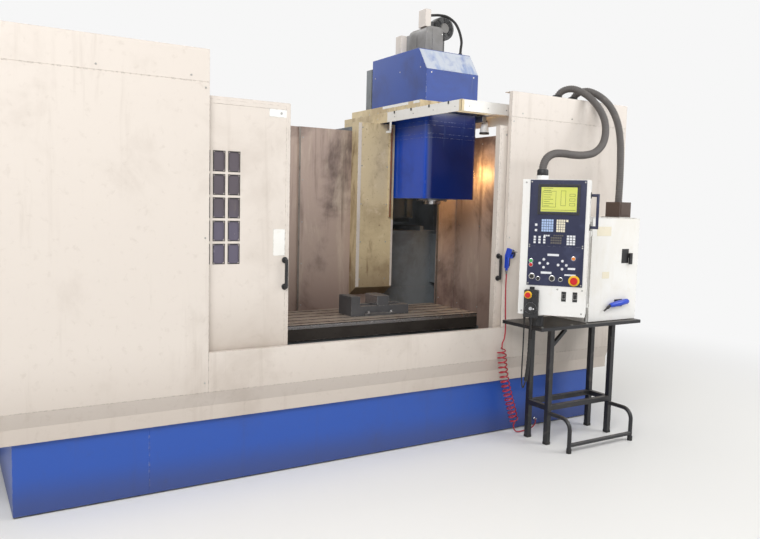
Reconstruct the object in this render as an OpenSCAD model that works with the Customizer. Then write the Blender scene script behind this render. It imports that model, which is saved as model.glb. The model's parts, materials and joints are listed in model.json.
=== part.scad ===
// Travelling-column vertical machining center with a fixed table.
// X runs along the front, Y runs to the rear and Z is up. Inside every module the
// Y values are measured from the front plane of the base.

/* [Enclosure] */
// Overall width of the enclosure
machine_w = 3824; // [3700:4:4000]
// Distance from the origin to the front plane of the base
front_reach = 860; // [800:1:950]
// Width of the front opening between the housings
opening_w = 1826; // [1700:2:1880]
// Height of the housings
housing_h = 2075; // [2072:1:2150]
// Lower edge of the housings and of the apron
housing_low = 474; // [450:1:490]
// Depth of the housing's outer side panel
housing_d = 1200; // [1180:5:1300]
// Distance that the housing stands ahead of the base
housing_step = 30; // [28:1:45]
// Upper edge of the apron
apron_top = 665; // [640:1:690]
// Sheet thickness of the enclosure
sheet_t = 4; // [3:0.5:5]
// Height of the seam below the top band
seam_z = 1925; // [1900:1:1960]
// Height of the base skirt
base_h = 330; // [300:1:350]
// Width of the base skirt
base_w = 3508; // [3400:2:3600]

/* [Doors] */
// Width of one sliding door
door_w = 950; // [930:1:965]
// Thickness of the door pan
door_t = 38; // [30:1:39]
// Upper edge of the doors
door_top = 1872; // [1840:1:1900]
// Right edge of the left door at rest
left_door_x = -493; // [-600:1:-400]
// Left edge of the right door at rest
right_door_x = 857; // [700:1:880]
// Columns of panes in a door window
pane_cols = 6; // [3:1:7]
// Rows of panes in a door window
pane_rows = 5; // [3:1:5]
// Width of one pane
pane_w = 54; // [40:1:58]
// Height of one pane
pane_h = 92; // [70:1:96]
// Distance between pane columns
pane_pitch_x = 74; // [70:1:80]
// Distance between pane rows
pane_pitch_z = 110; // [105:1:115]
// Lower edge of the pane grid
pane_low = 1086; // [1050:1:1120]
// Length of the door handle's grip
handle_len = 150; // [120:5:200]

/* [Bed and table] */
// Length of the bed casting
bed_len = 3300; // [3200:10:3340]
// Height of the rear deck that carries the X rails
deck_z = 520; // [500:1:540]
// Length of the table
table_len = 2000; // [1900:10:2080]
// Depth of the table, front to back
table_d = 510; // [460:2:520]
// Thickness of the table
table_t = 90; // [80:1:110]
// Height of the table's working face
table_top = 700; // [690:1:720]
// Table front edge behind the front plane
table_front = 330; // [320:1:350]
// Number of T-slots
slot_count = 5; // [3:1:5]
// Distance between T-slots
slot_pitch = 100; // [85:1:105]
// Width of a T-slot's neck
slot_w = 18; // [14:1:22]
// Width of an X rail
rail_w = 35; // [30:1:45]
// Height of an X rail
rail_h = 40; // [35:1:45]

/* [Travelling unit] */
// Centre of the head in X, at the home position
unit_x = 965; // [955:1:970]
// Travel of the unit in X
x_travel = 1660; // [1500:10:1660]
// Travel of the ram in Y
y_travel = 505; // [400:5:505]
// Travel of the head in Z
z_travel = 510; // [400:5:510]
// Width of the saddle
saddle_w = 900; // [860:2:900]
// Width of the column
column_w = 790; // [760:2:790]
// Height of the column's deck
column_deck = 1200; // [1180:1:1220]
// Width of the upper head cover
head_w = 430; // [420:2:440]
// Front of the head cover behind the front plane
head_front = 600; // [598:1:620]
// Lower edge of the head cover
head_low = 1437; // [1430:1:1450]
// Top of the upper head cover
cover_top = 2430; // [2410:1:2460]
// Underside of the canopy's roof sheet
canopy_z = 2008; // [2000:1:2010]
// Depth of the canopy's edge flange
canopy_flange = 63; // [50:1:70]
// Width of the canopy
canopy_w = 686; // [670:2:690]
// Width of the magazine cover
mag_cover_w = 293; // [260:1:300]
// Height of the spindle nose above the floor
nose_z = 1400; // [1390:1:1410]
// Outer radius of the spindle
spindle_r = 65; // [60:1:70]
// Radius of the tool drum
drum_r = 290; // [270:1:300]
// Number of tool pockets
pocket_count = 24; // [16:2:30]

/* [Control] */
// Width of the pendant
pendant_w = 364; // [340:2:380]
// Height of the pendant
pendant_h = 752; // [700:2:800]
// Depth of the pendant
pendant_d = 200; // [180:2:210]
// Lower edge of the pendant
pendant_low = 796; // [790:1:810]
// Turn of the pendant's face from straight ahead
pendant_turn = 48.8; // [40:0.1:55]
// Height of the stand's top face
stand_h = 720; // [700:1:740]
// Width of the control cabinet
nc_w = 420; // [400:2:430]
// Height of the control cabinet
nc_h = 625; // [600:1:640]
// Depth of the control cabinet
nc_d = 280; // [260:2:290]
// Side of the stand's square tube
tube_w = 30; // [25:1:40]
// Outer diameter of the conduits
conduit_d = 45; // [40:1:50]
// Diameter of the air hose
hose_d = 8; // [6:1:10]
// Outer diameter of the air hose's coil
coil_d = 58; // [50:1:64]

/* [Cabinet and tank] */
// Length of the electrical cabinet, front to back
cab_len = 1060; // [900:10:1080]
// Width of the electrical cabinet
cab_w = 236; // [220:2:240]
// Top of the electrical cabinet
cab_top = 1930; // [1800:10:1950]
// Length of the coolant tank, front to back
tank_len = 1200; // [1000:10:1250]
// Width of the coolant tank
tank_w = 250; // [200:5:255]
// Top of the coolant tank
tank_top = 440; // [400:5:450]

/* [Hidden] */
$fn = 48;

// Gap left between faces that slide on each other
slide_gap = 0.3;
// Play of a pin or shaft in its bore, on the radius
pin_play = 0.06;
// Sheet thickness of the cover plates and of the other thin covers
fold_t = 3;

// Enclosure
half_w = machine_w / 2;
half_open = opening_w / 2;
housing_y = -housing_step;
side_in = half_w - sheet_t;
door_y = 2;
rail_z = 600;
door_low = rail_z + slide_gap;
conduit_xs = [1420, 1560];
conduit_end_y = 120;

// Bed, its pads, the troughs and the table
bed_front = 90;
bed_rear = 2110;
bed_foot = 40;
pad_in = 150;
pad_xs = [for (s = [-1, -1 / 3, 1 / 3, 1]) s * (bed_len / 2 - pad_in)];
pad_ys = [bed_front + 30, bed_rear - 40];
anchor_off = 60;
anchor_r = 9;
trough_floor = 440;
splash_x = table_len / 2 + 365;
table_mid = table_front + table_d / 2;
table_seat = table_top - table_t;
rail_top = deck_z + rail_h;
x_rail_ys = [1250, 1950];

// Vise
vise_x = 150;
vise_len = 420;
vise_w = 160;
vise_mid = table_mid - 10;
vise_bed = table_top + 58;
jaw_top = vise_bed + 62;
screw_r = 11;
screw_z = vise_bed - 20;
jaw_x = vise_x + 190;

// Travelling unit
saddle_low = 600;
saddle_top = 780;
saddle_rear = bed_rear - 30;
column_y = 1170;
column_rear = bed_rear + 40;
cheek_t = 80;
cheek_top = canopy_z - canopy_flange;
y_rail_dx = 170;
y_rail_w = 30;
y_rail_h = 35;
drum_x = unit_x - column_w / 2 - 340;
drum_y = 1250;
drum_z = 1350;
drum_axle_r = 30;
ram_rear = bed_rear + 120;

// Cover plates
plate_y = 1080;
plate_step = 15;
plate_low = 620;
plate_top = 1890;
left_plate_w = 680;
right_plate_w = 620;
fixed_plate_y = plate_y + 3 * plate_step;

// Head
spindle_y = head_front + 230;
shaft_z = head_low - 7;
nose_bush_r = 110;
z_rail_dx = 140;
z_rail_w = 30;
z_rail_front = head_front + 730;
ram_front = z_rail_front + 30;
lower_half = head_w / 2 - 5;
lower_back = head_front + 450;
upper_front = head_front + 30;
upper_back = head_front + 722;
head_x0 = unit_x - head_w / 2;
head_x1 = unit_x + head_w / 2;
left_plate_right = head_x0 - 15;
right_plate_left = head_x1 + 20;
left_fixed_x = -side_in;
right_fixed_x = side_in - right_plate_w;
left_gap = (left_plate_right - left_plate_w - left_fixed_x) / 3;
right_gap = (right_fixed_x - right_plate_left) / 3;

// Stand, control cabinet and electrical cabinet
post_xs = [1045, 1560];
post_ys = [-300, -140];
stand_rail_z = 205;
foot_reach = 480;
foot_r = 12;
pendant_pivot = [919, -303];
pivot_r = 22;
stand_y = -400;
nc_x = 1270;
nc_y = -360;
nc_pin_r = 4;
nc_hinge = [nc_x + nc_pin_r, nc_y + 11];
nc_door_gap = 4;
nc_latch_x = nc_x + nc_w - 80;
nc_latch_z = 1115;
latch_r = 7;
nc_hose_x = 1640;
nc_hose_y = -230;
gland_r = 18;
cab_y = max(housing_d, plate_y + 3 * plate_step) + 30;
cab_x = bed_len / 2 + slide_gap;
cab_face = cab_x + cab_w;
cab_back = cab_y + cab_len;
cab_low = 120;
cab_hinge = [cab_face + 12, cab_back - 8];
cab_pin_r = 5;
knuckle_h = 50;
leaf_h = 60;
cab_knuckles = [cab_low + 212, cab_top - 262];

// Pendant: local X runs across its face and local Y goes in from the face
face_x0 = -96;
face_x1 = face_x0 + pendant_w;
face_y = -pendant_d / 2;
pendant_top = pendant_low + pendant_h;
panel_x0 = face_x0 + 42;
panel_x1 = face_x1 - 21;
panel_low = 962;
panel_t = 4;
screen_x0 = face_x0 + 98;
screen_w = 200;
screen_low = 1368;
screen_h = 142;
stop_x = face_x0 + 298;
stop_z = 996;
stop_stem_r = 11;
rocker_xs = [face_x0 + 247, face_x0 + 307];
rocker_z = 906;
rocker_r = 12;
pulse_x0 = face_x0 + 36;
pulse_w = 78;
pulse_low = 784;
pulse_h = 150;
pulse_y = face_y - 46;
pulse_mid = pulse_x0 + pulse_w / 2;
wheel_z = pulse_low + 52;
wheel_stem_r = 6;
pulse_stop_at = [pulse_x0 + 22, pulse_low + pulse_h - 24];
pulse_stem_r = 7;

gun_at = [892, -63, 1030];
magnet_z = 1112;
lamp_at = [unit_x + 285, 630, canopy_z - 116];

module at_front() translate([0, -front_reach, 0]) children();

// A block from its low corner to its high corner
module block(low, high) translate(low) cube(high - low);

// An outline in Y and Z, drawn from one X to another
module along_x(x0, x1) translate([x0, 0, 0]) rotate([90, 0, 90]) linear_extrude(x1 - x0) children();

// An outline in X and Z, drawn from one Y to another
module along_y(y0, y1) translate([0, y1, 0]) rotate([90, 0, 0]) linear_extrude(y1 - y0) children();

// A rod along X, Y or Z with its start at the origin
module rod_x(r, len) rotate([0, 90, 0]) cylinder(r = r, h = len);
module rod_y(r, len) rotate([-90, 0, 0]) cylinder(r = r, h = len);

// A rectangle with round corners
module round_rect(w, h, r) {
    for (sx = [-1, 1], sy = [-1, 1])
        translate([sx * (w / 2 - r), sy * (h / 2 - r)]) circle(r = r, $fn = 24);
    square([w - 2 * r, h], center = true);
    square([w, h - 2 * r], center = true);
}

// Cast bed: a low front part under the table's seat and a high rear deck for the X rails
module bed() {
    seat_x = table_len / 2 + 40;
    cell_pitch = 360;
    cell_w = 325;
    table_back = table_front + table_d;
    color("slategray") at_front() difference() {
        union() {
            along_x(-bed_len / 2, bed_len / 2)
                polygon([[bed_front, bed_foot], [bed_front, deck_z - 140], [table_back + 10, deck_z - 140],
                         [column_y - 80, deck_z - 90], [column_y, deck_z], [bed_rear - 30, deck_z],
                         [bed_rear, deck_z - 30], [bed_rear, bed_foot]]);
            along_x(-seat_x, seat_x)
                polygon([[table_front - 20, deck_z - 150], [table_front + 30, table_seat],
                         [table_back - 30, table_seat], [table_back, deck_z - 150]]);
        }
        for (i = [-4:4]) translate([i * cell_pitch, 0, bed_foot - 1]) {
            block([-cell_w / 2, bed_front + 60, 0], [cell_w / 2, table_back - 60, 270]);
            block([-cell_w / 2, column_y + 60, 0], [cell_w / 2, bed_rear - 80, 420]);
            block([-110, table_back - 70, 60], [110, column_y + 70, 210]);
        }
        for (sx = [-1, 1], y = [400, 1600])
            translate([sx * bed_len / 2, y, 200]) rotate([0, 90, 0]) cylinder(r = 80, h = 100, center = true);
    }
}

// Levelling pads: a disc with an anchor hole, a stud and a nut under the bed's edge
module levelling_pads() {
    color("dimgray") at_front() for (x = pad_xs, y = pad_ys) translate([x, y, 0]) {
        difference() {
            cylinder(r = 85, h = 14);
            translate([anchor_off * sign(x), 0, -1]) cylinder(r = anchor_r, h = 16);
            translate([0, 0, 13]) cylinder(r = 20, h = 2);
        }
        translate([0, 0, 13]) cylinder(r = 20, h = 9);
        translate([0, 0, 22]) cylinder(r = 34, h = bed_foot - 22, $fn = 6);
    }
}

// Blue skirt: a folded sheet round the front of the bed
module base_skirt() {
    x1 = base_w / 2;
    color("royalblue") at_front() difference() {
        block([-x1, 20, 8], [x1, 880, base_h]);
        block([-x1 + sheet_t, 20 + sheet_t, 7], [x1 - sheet_t, 881, base_h - sheet_t]);
        block([-bed_len / 2 - 10, 80, 7], [bed_len / 2 + 10, 881, base_h + 1]);
        for (sx = [-1, 1]) block([sx * 1180 - 2, 19, 20], [sx * 1180 + 2, 21.5, base_h - 10]);
    }
}

// Folded strip below the housings: a face, an inward chamfer and a shelf onto the skirt
module lower_fascia() {
    half = machine_w / 2 - 50;
    color("antiquewhite") at_front() along_x(-half, half) difference() {
        polygon([[housing_y, housing_low - 0.2], [0, 400], [0, base_h + 0.2], [40, base_h + 0.2],
                 [40, housing_low - 0.2]]);
        polygon([[housing_y + 6, housing_low - sheet_t], [sheet_t, 400 + 1], [sheet_t, base_h + sheet_t],
                 [41, base_h + sheet_t], [41, housing_low - sheet_t]]);
    }
}

// Apron below the opening, with the rail that carries both doors
module front_apron() {
    color("linen") at_front() {
        along_x(-half_open - 0.5, half_open + 0.5) difference() {
            polygon([[housing_y, housing_low], [housing_y, apron_top], [-3, apron_top], [-3, rail_z],
                     [6, rail_z], [6, rail_z - 25], [-3, rail_z - 25], [-3, housing_low]]);
            polygon([[housing_y + sheet_t, housing_low + sheet_t], [housing_y + sheet_t, apron_top - sheet_t],
                     [-3 - sheet_t, apron_top - sheet_t], [-3 - sheet_t, housing_low + sheet_t]]);
        }
        difference() {
            block([-half_w + 14, -2, rail_z - 25], [half_w - 14, 44, rail_z]);
            block([-half_w, 28, rail_z - 12], [half_w, 34, rail_z + 1]);
        }
    }
}

// Housing: one folded pan with a front, an opening edge, a top flange and a long outer side
module housing(side) {
    x_in = half_open + 1;
    color("linen") at_front() mirror([side < 0 ? 1 : 0, 0, 0]) difference() {
        union() {
            block([x_in, housing_y, housing_low], [half_w, housing_y + sheet_t, housing_h]);
            block([x_in, housing_y, housing_low], [x_in + sheet_t, -3, housing_h]);
            block([x_in, housing_y, housing_h - sheet_t], [half_w, 38, housing_h]);
            block([side_in, housing_y, housing_low], [half_w, housing_d, housing_h]);
            block([x_in, housing_y, housing_low], [half_w, 38, housing_low + sheet_t]);
            if (side > 0)
                block([unit_x + canopy_w / 2 + 20, 37, housing_h - sheet_t], [side_in + 1, 210, housing_h]);
        }
        block([x_in - 1, housing_y - 1, seam_z - 2], [half_w + 1, housing_y + 1.5, seam_z + 2]);
        block([half_w - 1.5, housing_y - 1, seam_z - 2], [half_w + 1, housing_d + 1, seam_z + 2]);
        for (x = conduit_xs)
            if (side > 0) translate([x, conduit_end_y, housing_h - 10]) cylinder(r = gland_r, h = 20);
    }
}
module left_housing() housing(-1);
module right_housing() housing(1);

// Inner side walls and the outermost cover plates, which are fixed to the housings
module splash_walls() {
    color("rosybrown") at_front() {
        for (sx = [-1, 1]) {
            inner = sx * splash_x;
            block([inner - fold_t / 2, 50, trough_floor + fold_t],
                  [inner + fold_t / 2, plate_y - 15, plate_top]);
            block([min(inner, sx * side_in), 62, trough_floor + 30],
                  [max(inner, sx * side_in), 62 + fold_t, plate_top]);
        }
        for (plate = [[left_fixed_x, left_plate_w], [right_fixed_x, right_plate_w]])
            block([plate[0], fixed_plate_y, plate_low],
                  [plate[0] + plate[1], fixed_plate_y + fold_t, plate_top]);
    }
}

// Chip troughs before and behind the table
module chip_troughs() {
    half = splash_x - fold_t / 2 - slide_gap;
    low = trough_floor;
    lip = table_seat - 50;
    front = 46;
    front_end = table_front - 30;
    rear = table_front + table_d + 2;
    rear_end = plate_y - 10;
    rear_low = low + 35;
    color("gray") at_front() along_x(-half, half) {
        polygon([[front, rail_z - 10], [front, low], [front_end, low], [front_end, lip],
                 [front_end - fold_t, lip], [front_end - fold_t, low + fold_t], [front + fold_t, low + fold_t],
                 [front + fold_t, rail_z - 10]]);
        polygon([[rear, lip], [rear, rear_low], [rear_end, rear_low], [rear_end, plate_low - 10],
                 [rear_end + 90, plate_low - 10], [rear_end + 90, plate_low], [rear_end - fold_t, plate_low],
                 [rear_end - fold_t, rear_low + fold_t], [rear + fold_t, rear_low + fold_t],
                 [rear + fold_t, lip]]);
    }
}

// Table with T-slots along X
module t_slot(depth) {
    translate([-slot_w / 2, -depth]) square([slot_w, depth + 1]);
    translate([-slot_w * 0.89, -depth]) square([slot_w * 1.78, depth * 0.45]);
}
module work_table() {
    color("silver") at_front() difference() {
        along_x(-table_len / 2, table_len / 2) difference() {
            translate([table_front, table_seat]) square([table_d, table_t]);
            for (i = [0:slot_count - 1])
                translate([table_mid + (i - (slot_count - 1) / 2) * slot_pitch, table_top]) t_slot(34);
        }
        for (sx = [-1, 1], sy = [-1, 1])
            translate([sx * (table_len / 2 - 40), table_mid + sy * (slot_pitch * 1.5), table_top - 45])
                cylinder(r = 8, h = 50);
    }
}

// Machine vise: base with a fixed jaw, a moving jaw and its screw
module vise_base() {
    color("dimgray") at_front() difference() {
        union() {
            block([vise_x, vise_mid - vise_w / 2, table_top], [vise_x + vise_len, vise_mid + vise_w / 2, vise_bed]);
            block([vise_x, vise_mid - vise_w / 2, vise_bed], [vise_x + 62, vise_mid + vise_w / 2, jaw_top]);
            for (sy = [-1, 1])
                block([vise_x + 90, vise_mid + sy * vise_w / 2 - 22, table_top],
                      [vise_x + 300, vise_mid + sy * vise_w / 2 + 22, table_top + 16]);
        }
        block([vise_x + 62, vise_mid - 24, screw_z - 22], [vise_x + vise_len - 26, vise_mid + 24, vise_bed + 1]);
        translate([vise_x + vise_len - 40, vise_mid, screw_z]) rod_x(screw_r + pin_play, 60);
    }
}
module vise_jaw() {
    color("gray") at_front() difference() {
        union() {
            block([jaw_x, vise_mid - vise_w / 2, vise_bed + slide_gap],
                  [jaw_x + 80, vise_mid + vise_w / 2, jaw_top]);
            block([jaw_x + 5, vise_mid - 24 + slide_gap, screw_z - 21],
                  [jaw_x + 75, vise_mid + 24 - slide_gap, vise_bed + 1]);
        }
        translate([jaw_x - 1, vise_mid, screw_z]) rod_x(screw_r + pin_play, 90);
        translate([jaw_x + 80, vise_mid - 100, jaw_top]) rotate([0, 45, 0]) cube([30, 200, 30]);
    }
}
module vise_screw() {
    color("lightgray") at_front() translate([0, vise_mid, screw_z]) {
        translate([vise_x + 63, 0, 0]) rod_x(screw_r, vise_len - 63 + 14);
        translate([vise_x + vise_len + slide_gap, 0, 0]) rod_x(17, 9);
        translate([vise_x + vise_len + 9, 0, 0]) rotate([0, 90, 0]) cylinder(r = 12, h = 24, $fn = 6);
    }
}

// Two rails for the saddle, bolted to the rear deck
module x_rails() {
    x0 = unit_x - x_travel - 560;
    x1 = unit_x + 560;
    color("silver") at_front() for (y = x_rail_ys) difference() {
        along_x(x0, x1) translate([y, deck_z]) difference() {
            translate([-rail_w / 2, 0]) square([rail_w, rail_h]);
            for (s = [-1, 1]) translate([s * rail_w / 2, rail_h * 0.55]) circle(r = 5, $fn = 16);
        }
        for (x = [x0 + 60:180:x1 - 40]) translate([x, y, deck_z + rail_h - 12]) cylinder(r = 8, h = 20, $fn = 16);
    }
}

// Stand of square tube with bent tube feet
module stand_foot(x) {
    r = foot_r;
    bend = 60;
    z = stand_rail_z - 15;
    translate([x, -foot_reach + bend, z]) rod_y(r, foot_reach - bend + post_ys[0] - tube_w / 2);
    translate([x, -foot_reach + bend, z - bend]) rotate([0, 90, 0]) rotate([0, 0, 180])
        rotate_extrude(angle = 90, $fn = 48) translate([bend, 0]) circle(r = r, $fn = 24);
    translate([x, -foot_reach, 0]) cylinder(r = r, h = z - bend);
}
module stand() {
    top = stand_h - 20;
    color("black") at_front() {
        for (x = post_xs, y = post_ys)
            block([x - tube_w / 2, y - tube_w / 2, 0], [x + tube_w / 2, y + tube_w / 2, top]);
        block([870, stand_y, top], [nc_x + nc_w + 10, -70, stand_h]);
        translate([pendant_pivot[0], pendant_pivot[1], stand_h]) difference() {
            cylinder(r = 40, h = 60);
            translate([0, 0, 2]) cylinder(r = pivot_r + pin_play, h = 60);
        }
        for (y = post_ys)
            block([post_xs[0], y - tube_w / 2, stand_rail_z], [post_xs[1], y + tube_w / 2, stand_rail_z + tube_w]);
        for (x = post_xs) {
            block([x - tube_w / 2, post_ys[0], stand_rail_z],
                  [x + tube_w / 2, post_ys[1], stand_rail_z + tube_w]);
            stand_foot(x);
        }
        translate([post_xs[0], -foot_reach, 45]) rod_x(foot_r, post_xs[1] - post_xs[0]);
        translate([post_xs[0] + 8, post_ys[0], top - 100]) rotate([0, 49, 0])
            translate([0, -10, 0]) cube([20, 20, 132]);
    }
}

// Control cabinet: an open pan box on the stand, its door and the door's latch
module nc_cabinet() {
    color("white") at_front() difference() {
        union() {
            block([nc_x, nc_y + 22, stand_h], [nc_x + nc_w, nc_y + nc_d, stand_h + nc_h]);
            translate([nc_hinge[0], nc_hinge[1], stand_h]) cylinder(r = nc_pin_r, h = nc_h);
            block([nc_x, nc_y + 9, stand_h], [nc_x + 8, nc_y + 24, stand_h + 3]);
            block([nc_x, nc_y + 9, stand_h + nc_h - 3], [nc_x + 8, nc_y + 24, stand_h + nc_h]);
        }
        block([nc_x + 3, nc_y + 21, stand_h + 3], [nc_x + nc_w - 3, nc_y + nc_d - 3, stand_h + nc_h - 3]);
        translate([nc_hinge[0], nc_hinge[1], stand_h + 3]) difference() {
            cylinder(r = 30, h = nc_h - 6);
            translate([0, 0, -1]) cylinder(r = nc_pin_r, h = nc_h);
            block([-31, 11, -1], [31, 31, nc_h]);
        }
        translate([nc_hose_x, nc_hose_y, stand_h + nc_h - 10]) cylinder(r = gland_r, h = 20);
    }
    color("gray") at_front() {
        for (z = [0.25, 0.55, 0.8])
            block([nc_x + 60, nc_y + nc_d - 93, stand_h + nc_h * z],
                  [nc_x + nc_w - 60, nc_y + nc_d - 3, stand_h + nc_h * z + 70]);
        translate([nc_hose_x, nc_hose_y, stand_h + nc_h]) difference() {
            cylinder(r = 34, h = 22);
            translate([0, 0, -1]) cylinder(r = gland_r, h = 24);
        }
    }
}
module nc_door() {
    low = stand_h + nc_door_gap;
    high = stand_h + nc_h - nc_door_gap;
    color("white") at_front() difference() {
        union() {
            block([nc_x + 10, nc_y, low], [nc_x + nc_w, nc_y + 19, high]);
            for (z = [low + 60, high - 110]) translate([nc_hinge[0], nc_hinge[1], z]) {
                cylinder(r = 8, h = 50);
                block([0, -8, 0], [12, 4, 50]);
            }
        }
        block([nc_x + 13, nc_y + 3, low + 3], [nc_x + nc_w - 3, nc_y + 20, high - 3]);
        translate([nc_hinge[0], nc_hinge[1], low - 1]) cylinder(r = nc_pin_r + pin_play, h = nc_h);
        translate([nc_latch_x, nc_y - 1, nc_latch_z]) rod_y(latch_r + pin_play, 10);
    }
}
module nc_latch() {
    color("black") at_front() translate([nc_latch_x, nc_y, nc_latch_z]) {
        translate([0, -16, 0]) rod_y(latch_r, 30);
        translate([0, -4 - slide_gap, 0]) rod_y(13, 4);
        block([-11, -18, -52], [11, -8, 16]);
        translate([0, 12, 0]) block([-8, 0, -8], [34, 3, 8]);
    }
}

// Electrical cabinet: an open pan beside the bed with a hinged door on its outer side
module electrical_cabinet() {
    color("antiquewhite") at_front() {
        difference() {
            block([cab_x, cab_y, cab_low], [cab_face, cab_back, cab_top]);
            block([cab_x + sheet_t, cab_y + sheet_t, cab_low + sheet_t],
                  [cab_face + 1, cab_back - sheet_t, cab_top - sheet_t]);
            for (z = [cab_low + 200:40:cab_low + 480])
                block([cab_x + cab_w * 0.25, cab_back - sheet_t - 1, z],
                      [cab_x + cab_w * 0.75, cab_back + 1, z + 12]);
        }
        for (y = [cab_y + 20, cab_back - 80]) block([cab_x, y, 0], [cab_face, y + 60, cab_low]);
        for (z = cab_knuckles) translate([cab_hinge[0], cab_hinge[1], z - leaf_h]) {
            cylinder(r = cab_pin_r, h = leaf_h + knuckle_h);
            block([-13, 0, 0], [0, 8, leaf_h]);
        }
        for (i = [0:3])
            block([cab_x + sheet_t, cab_y + 120, cab_low + 200 + i * 380],
                  [cab_x + cab_w * 0.55, cab_back - 120, cab_low + 420 + i * 380]);
    }
}
module cabinet_door() {
    outer = cab_face + 24;
    color("antiquewhite") at_front() difference() {
        union() {
            block([cab_face + 1, cab_y + 2, cab_low + 4], [outer, cab_back - 22, cab_top - 4]);
            for (z = cab_knuckles) translate([cab_hinge[0], cab_hinge[1], z]) {
                cylinder(r = 8, h = knuckle_h);
                block([-5, -18, 0], [8, 0, knuckle_h]);
            }
        }
        block([cab_face, cab_y + 5, cab_low + 8], [outer - 3, cab_back - 25, cab_top - 8]);
        for (z = cab_knuckles)
            translate([cab_hinge[0], cab_hinge[1], z - 1]) cylinder(r = cab_pin_r + pin_play, h = knuckle_h + 2);
        for (z = [cab_top - 500:30:cab_top - 320])
            block([outer - 9, cab_y + 330, z], [outer + 1, cab_y + 730, z + 9]);
    }
}

// Coolant tank with its pump at the left end
module coolant_tank() {
    x1 = -bed_len / 2 - slide_gap;
    x0 = x1 - tank_w;
    y1 = bed_rear;
    y0 = y1 - tank_len;
    pump_y = y1 - 210;
    foot_h = 10;
    color("royalblue") at_front() {
        difference() {
            block([x0, y0, foot_h], [x1, y1, tank_top]);
            block([x0 + sheet_t, y0 + sheet_t, foot_h + sheet_t],
                  [x1 - sheet_t, y1 - sheet_t, tank_top - sheet_t]);
            translate([(x0 + x1) / 2, pump_y, tank_top - 10]) cylinder(r = 60, h = 20);
        }
        for (y = [y0 + 20, y1 - 70]) block([x0 + 20, y, 0], [x1 - 20, y + 50, foot_h]);
    }
    color("dimgray") at_front() translate([(x0 + x1) / 2, pump_y, tank_top]) {
        translate([0, 0, 60 - tank_top]) cylinder(r = 45, h = tank_top - 60);
        cylinder(r = 85, h = 14);
        translate([0, 0, 14]) cylinder(r = 68, h = 200);
        translate([0, 0, 214]) cylinder(r = 72, h = 40);
    }
}

// Work lamp: a hooded lamp under the canopy's right edge
module work_lamp() {
    color("whitesmoke") at_front() translate(lamp_at) {
        difference() {
            union() {
                cylinder(r1 = 32, r2 = 24, h = 78);
                translate([0, 0, 78]) cylinder(r = 16, h = 18);
            }
            translate([0, 0, -1]) cylinder(r = 23, h = 60);
        }
        translate([0, 0, 96]) cylinder(r = 7, h = 20);
    }
}

// Sliding door: a folded pan with a grid of panes cut through its front sheet
module pane_grid() {
    for (c = [0:pane_cols - 1], r = [0:pane_rows - 1])
        translate([(c - (pane_cols - 1) / 2) * pane_pitch_x, r * pane_pitch_z + pane_h / 2])
            round_rect(pane_w, pane_h, 12);
}
grid_w = (pane_cols - 1) * pane_pitch_x + pane_w;
grid_h = (pane_rows - 1) * pane_pitch_z + pane_h;
module door_pan(x) {
    mid = x + door_w / 2;
    difference() {
        block([x, door_y, door_low], [x + door_w, door_y + door_t, door_top]);
        block([x + sheet_t, door_y + sheet_t, door_low + sheet_t],
              [x + door_w - sheet_t, door_y + door_t + 1, door_top - sheet_t]);
        translate([mid, 0, pane_low]) along_y(door_y - 1, door_y + sheet_t + 1) pane_grid();
    }
    translate([mid, 0, pane_low + grid_h / 2]) along_y(door_y + sheet_t, door_y + sheet_t + 8) difference() {
        square([grid_w + 60, grid_h + 60], center = true);
        square([grid_w + 40, grid_h + 40], center = true);
    }
}
module door_glass(x) {
    translate([x + door_w / 2, 0, pane_low + grid_h / 2]) along_y(door_y + sheet_t, door_y + sheet_t + 5)
        square([grid_w + 38, grid_h + 38], center = true);
}
module door_handle(x) {
    z = 1030;
    reach = 38;
    for (s = [-1, 1]) {
        translate([x, door_y - reach + 14, z + s * (handle_len / 2 - 8)]) rod_y(8, reach - 14);
        translate([x, door_y - reach + 14, z + s * (handle_len / 2 - 8)]) sphere(r = 8, $fn = 32);
    }
    translate([x, door_y - reach + 14, z - handle_len / 2 + 8]) cylinder(r = 8, h = handle_len - 16);
}
module left_door() color("linen") at_front() door_pan(left_door_x - door_w);
module right_door() color("linen") at_front() door_pan(right_door_x);
module left_door_glass() color("lightblue") at_front() door_glass(left_door_x - door_w);
module right_door_glass() color("lightblue") at_front() door_glass(right_door_x);
module left_door_handle() color("black") at_front() door_handle(left_door_x - 22);
module right_door_handle() color("black") at_front() door_handle(right_door_x + 22);

// Saddle casting with four carriages that straddle the X rails
module saddle() {
    x0 = unit_x - saddle_w / 2;
    x1 = unit_x + saddle_w / 2;
    color("slategray") at_front() {
        difference() {
            union() {
                block([x0, column_y, saddle_low], [x1, saddle_rear, saddle_top]);
                for (x = [x0 + 80, x1 - 80], y = x_rail_ys)
                    block([x - 75, y - 50, deck_z + 12], [x + 75, y + 50, saddle_low]);
            }
            for (y = x_rail_ys)
                block([x0 - 1, y - rail_w / 2 - slide_gap, deck_z - 1],
                      [x1 + 1, y + rail_w / 2 + slide_gap, rail_top + slide_gap]);
            block([x0 + 120, column_y + 170, saddle_low - 1], [x1 - 120, saddle_rear - 220, saddle_top - 60]);
            for (sx = [-1, 1])
                translate([unit_x + sx * (saddle_w / 2 - 40), 1500, saddle_top - 90]) rotate([0, 90, 0])
                    cylinder(r = 45, h = 100, center = true);
        }
    }
}

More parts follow.
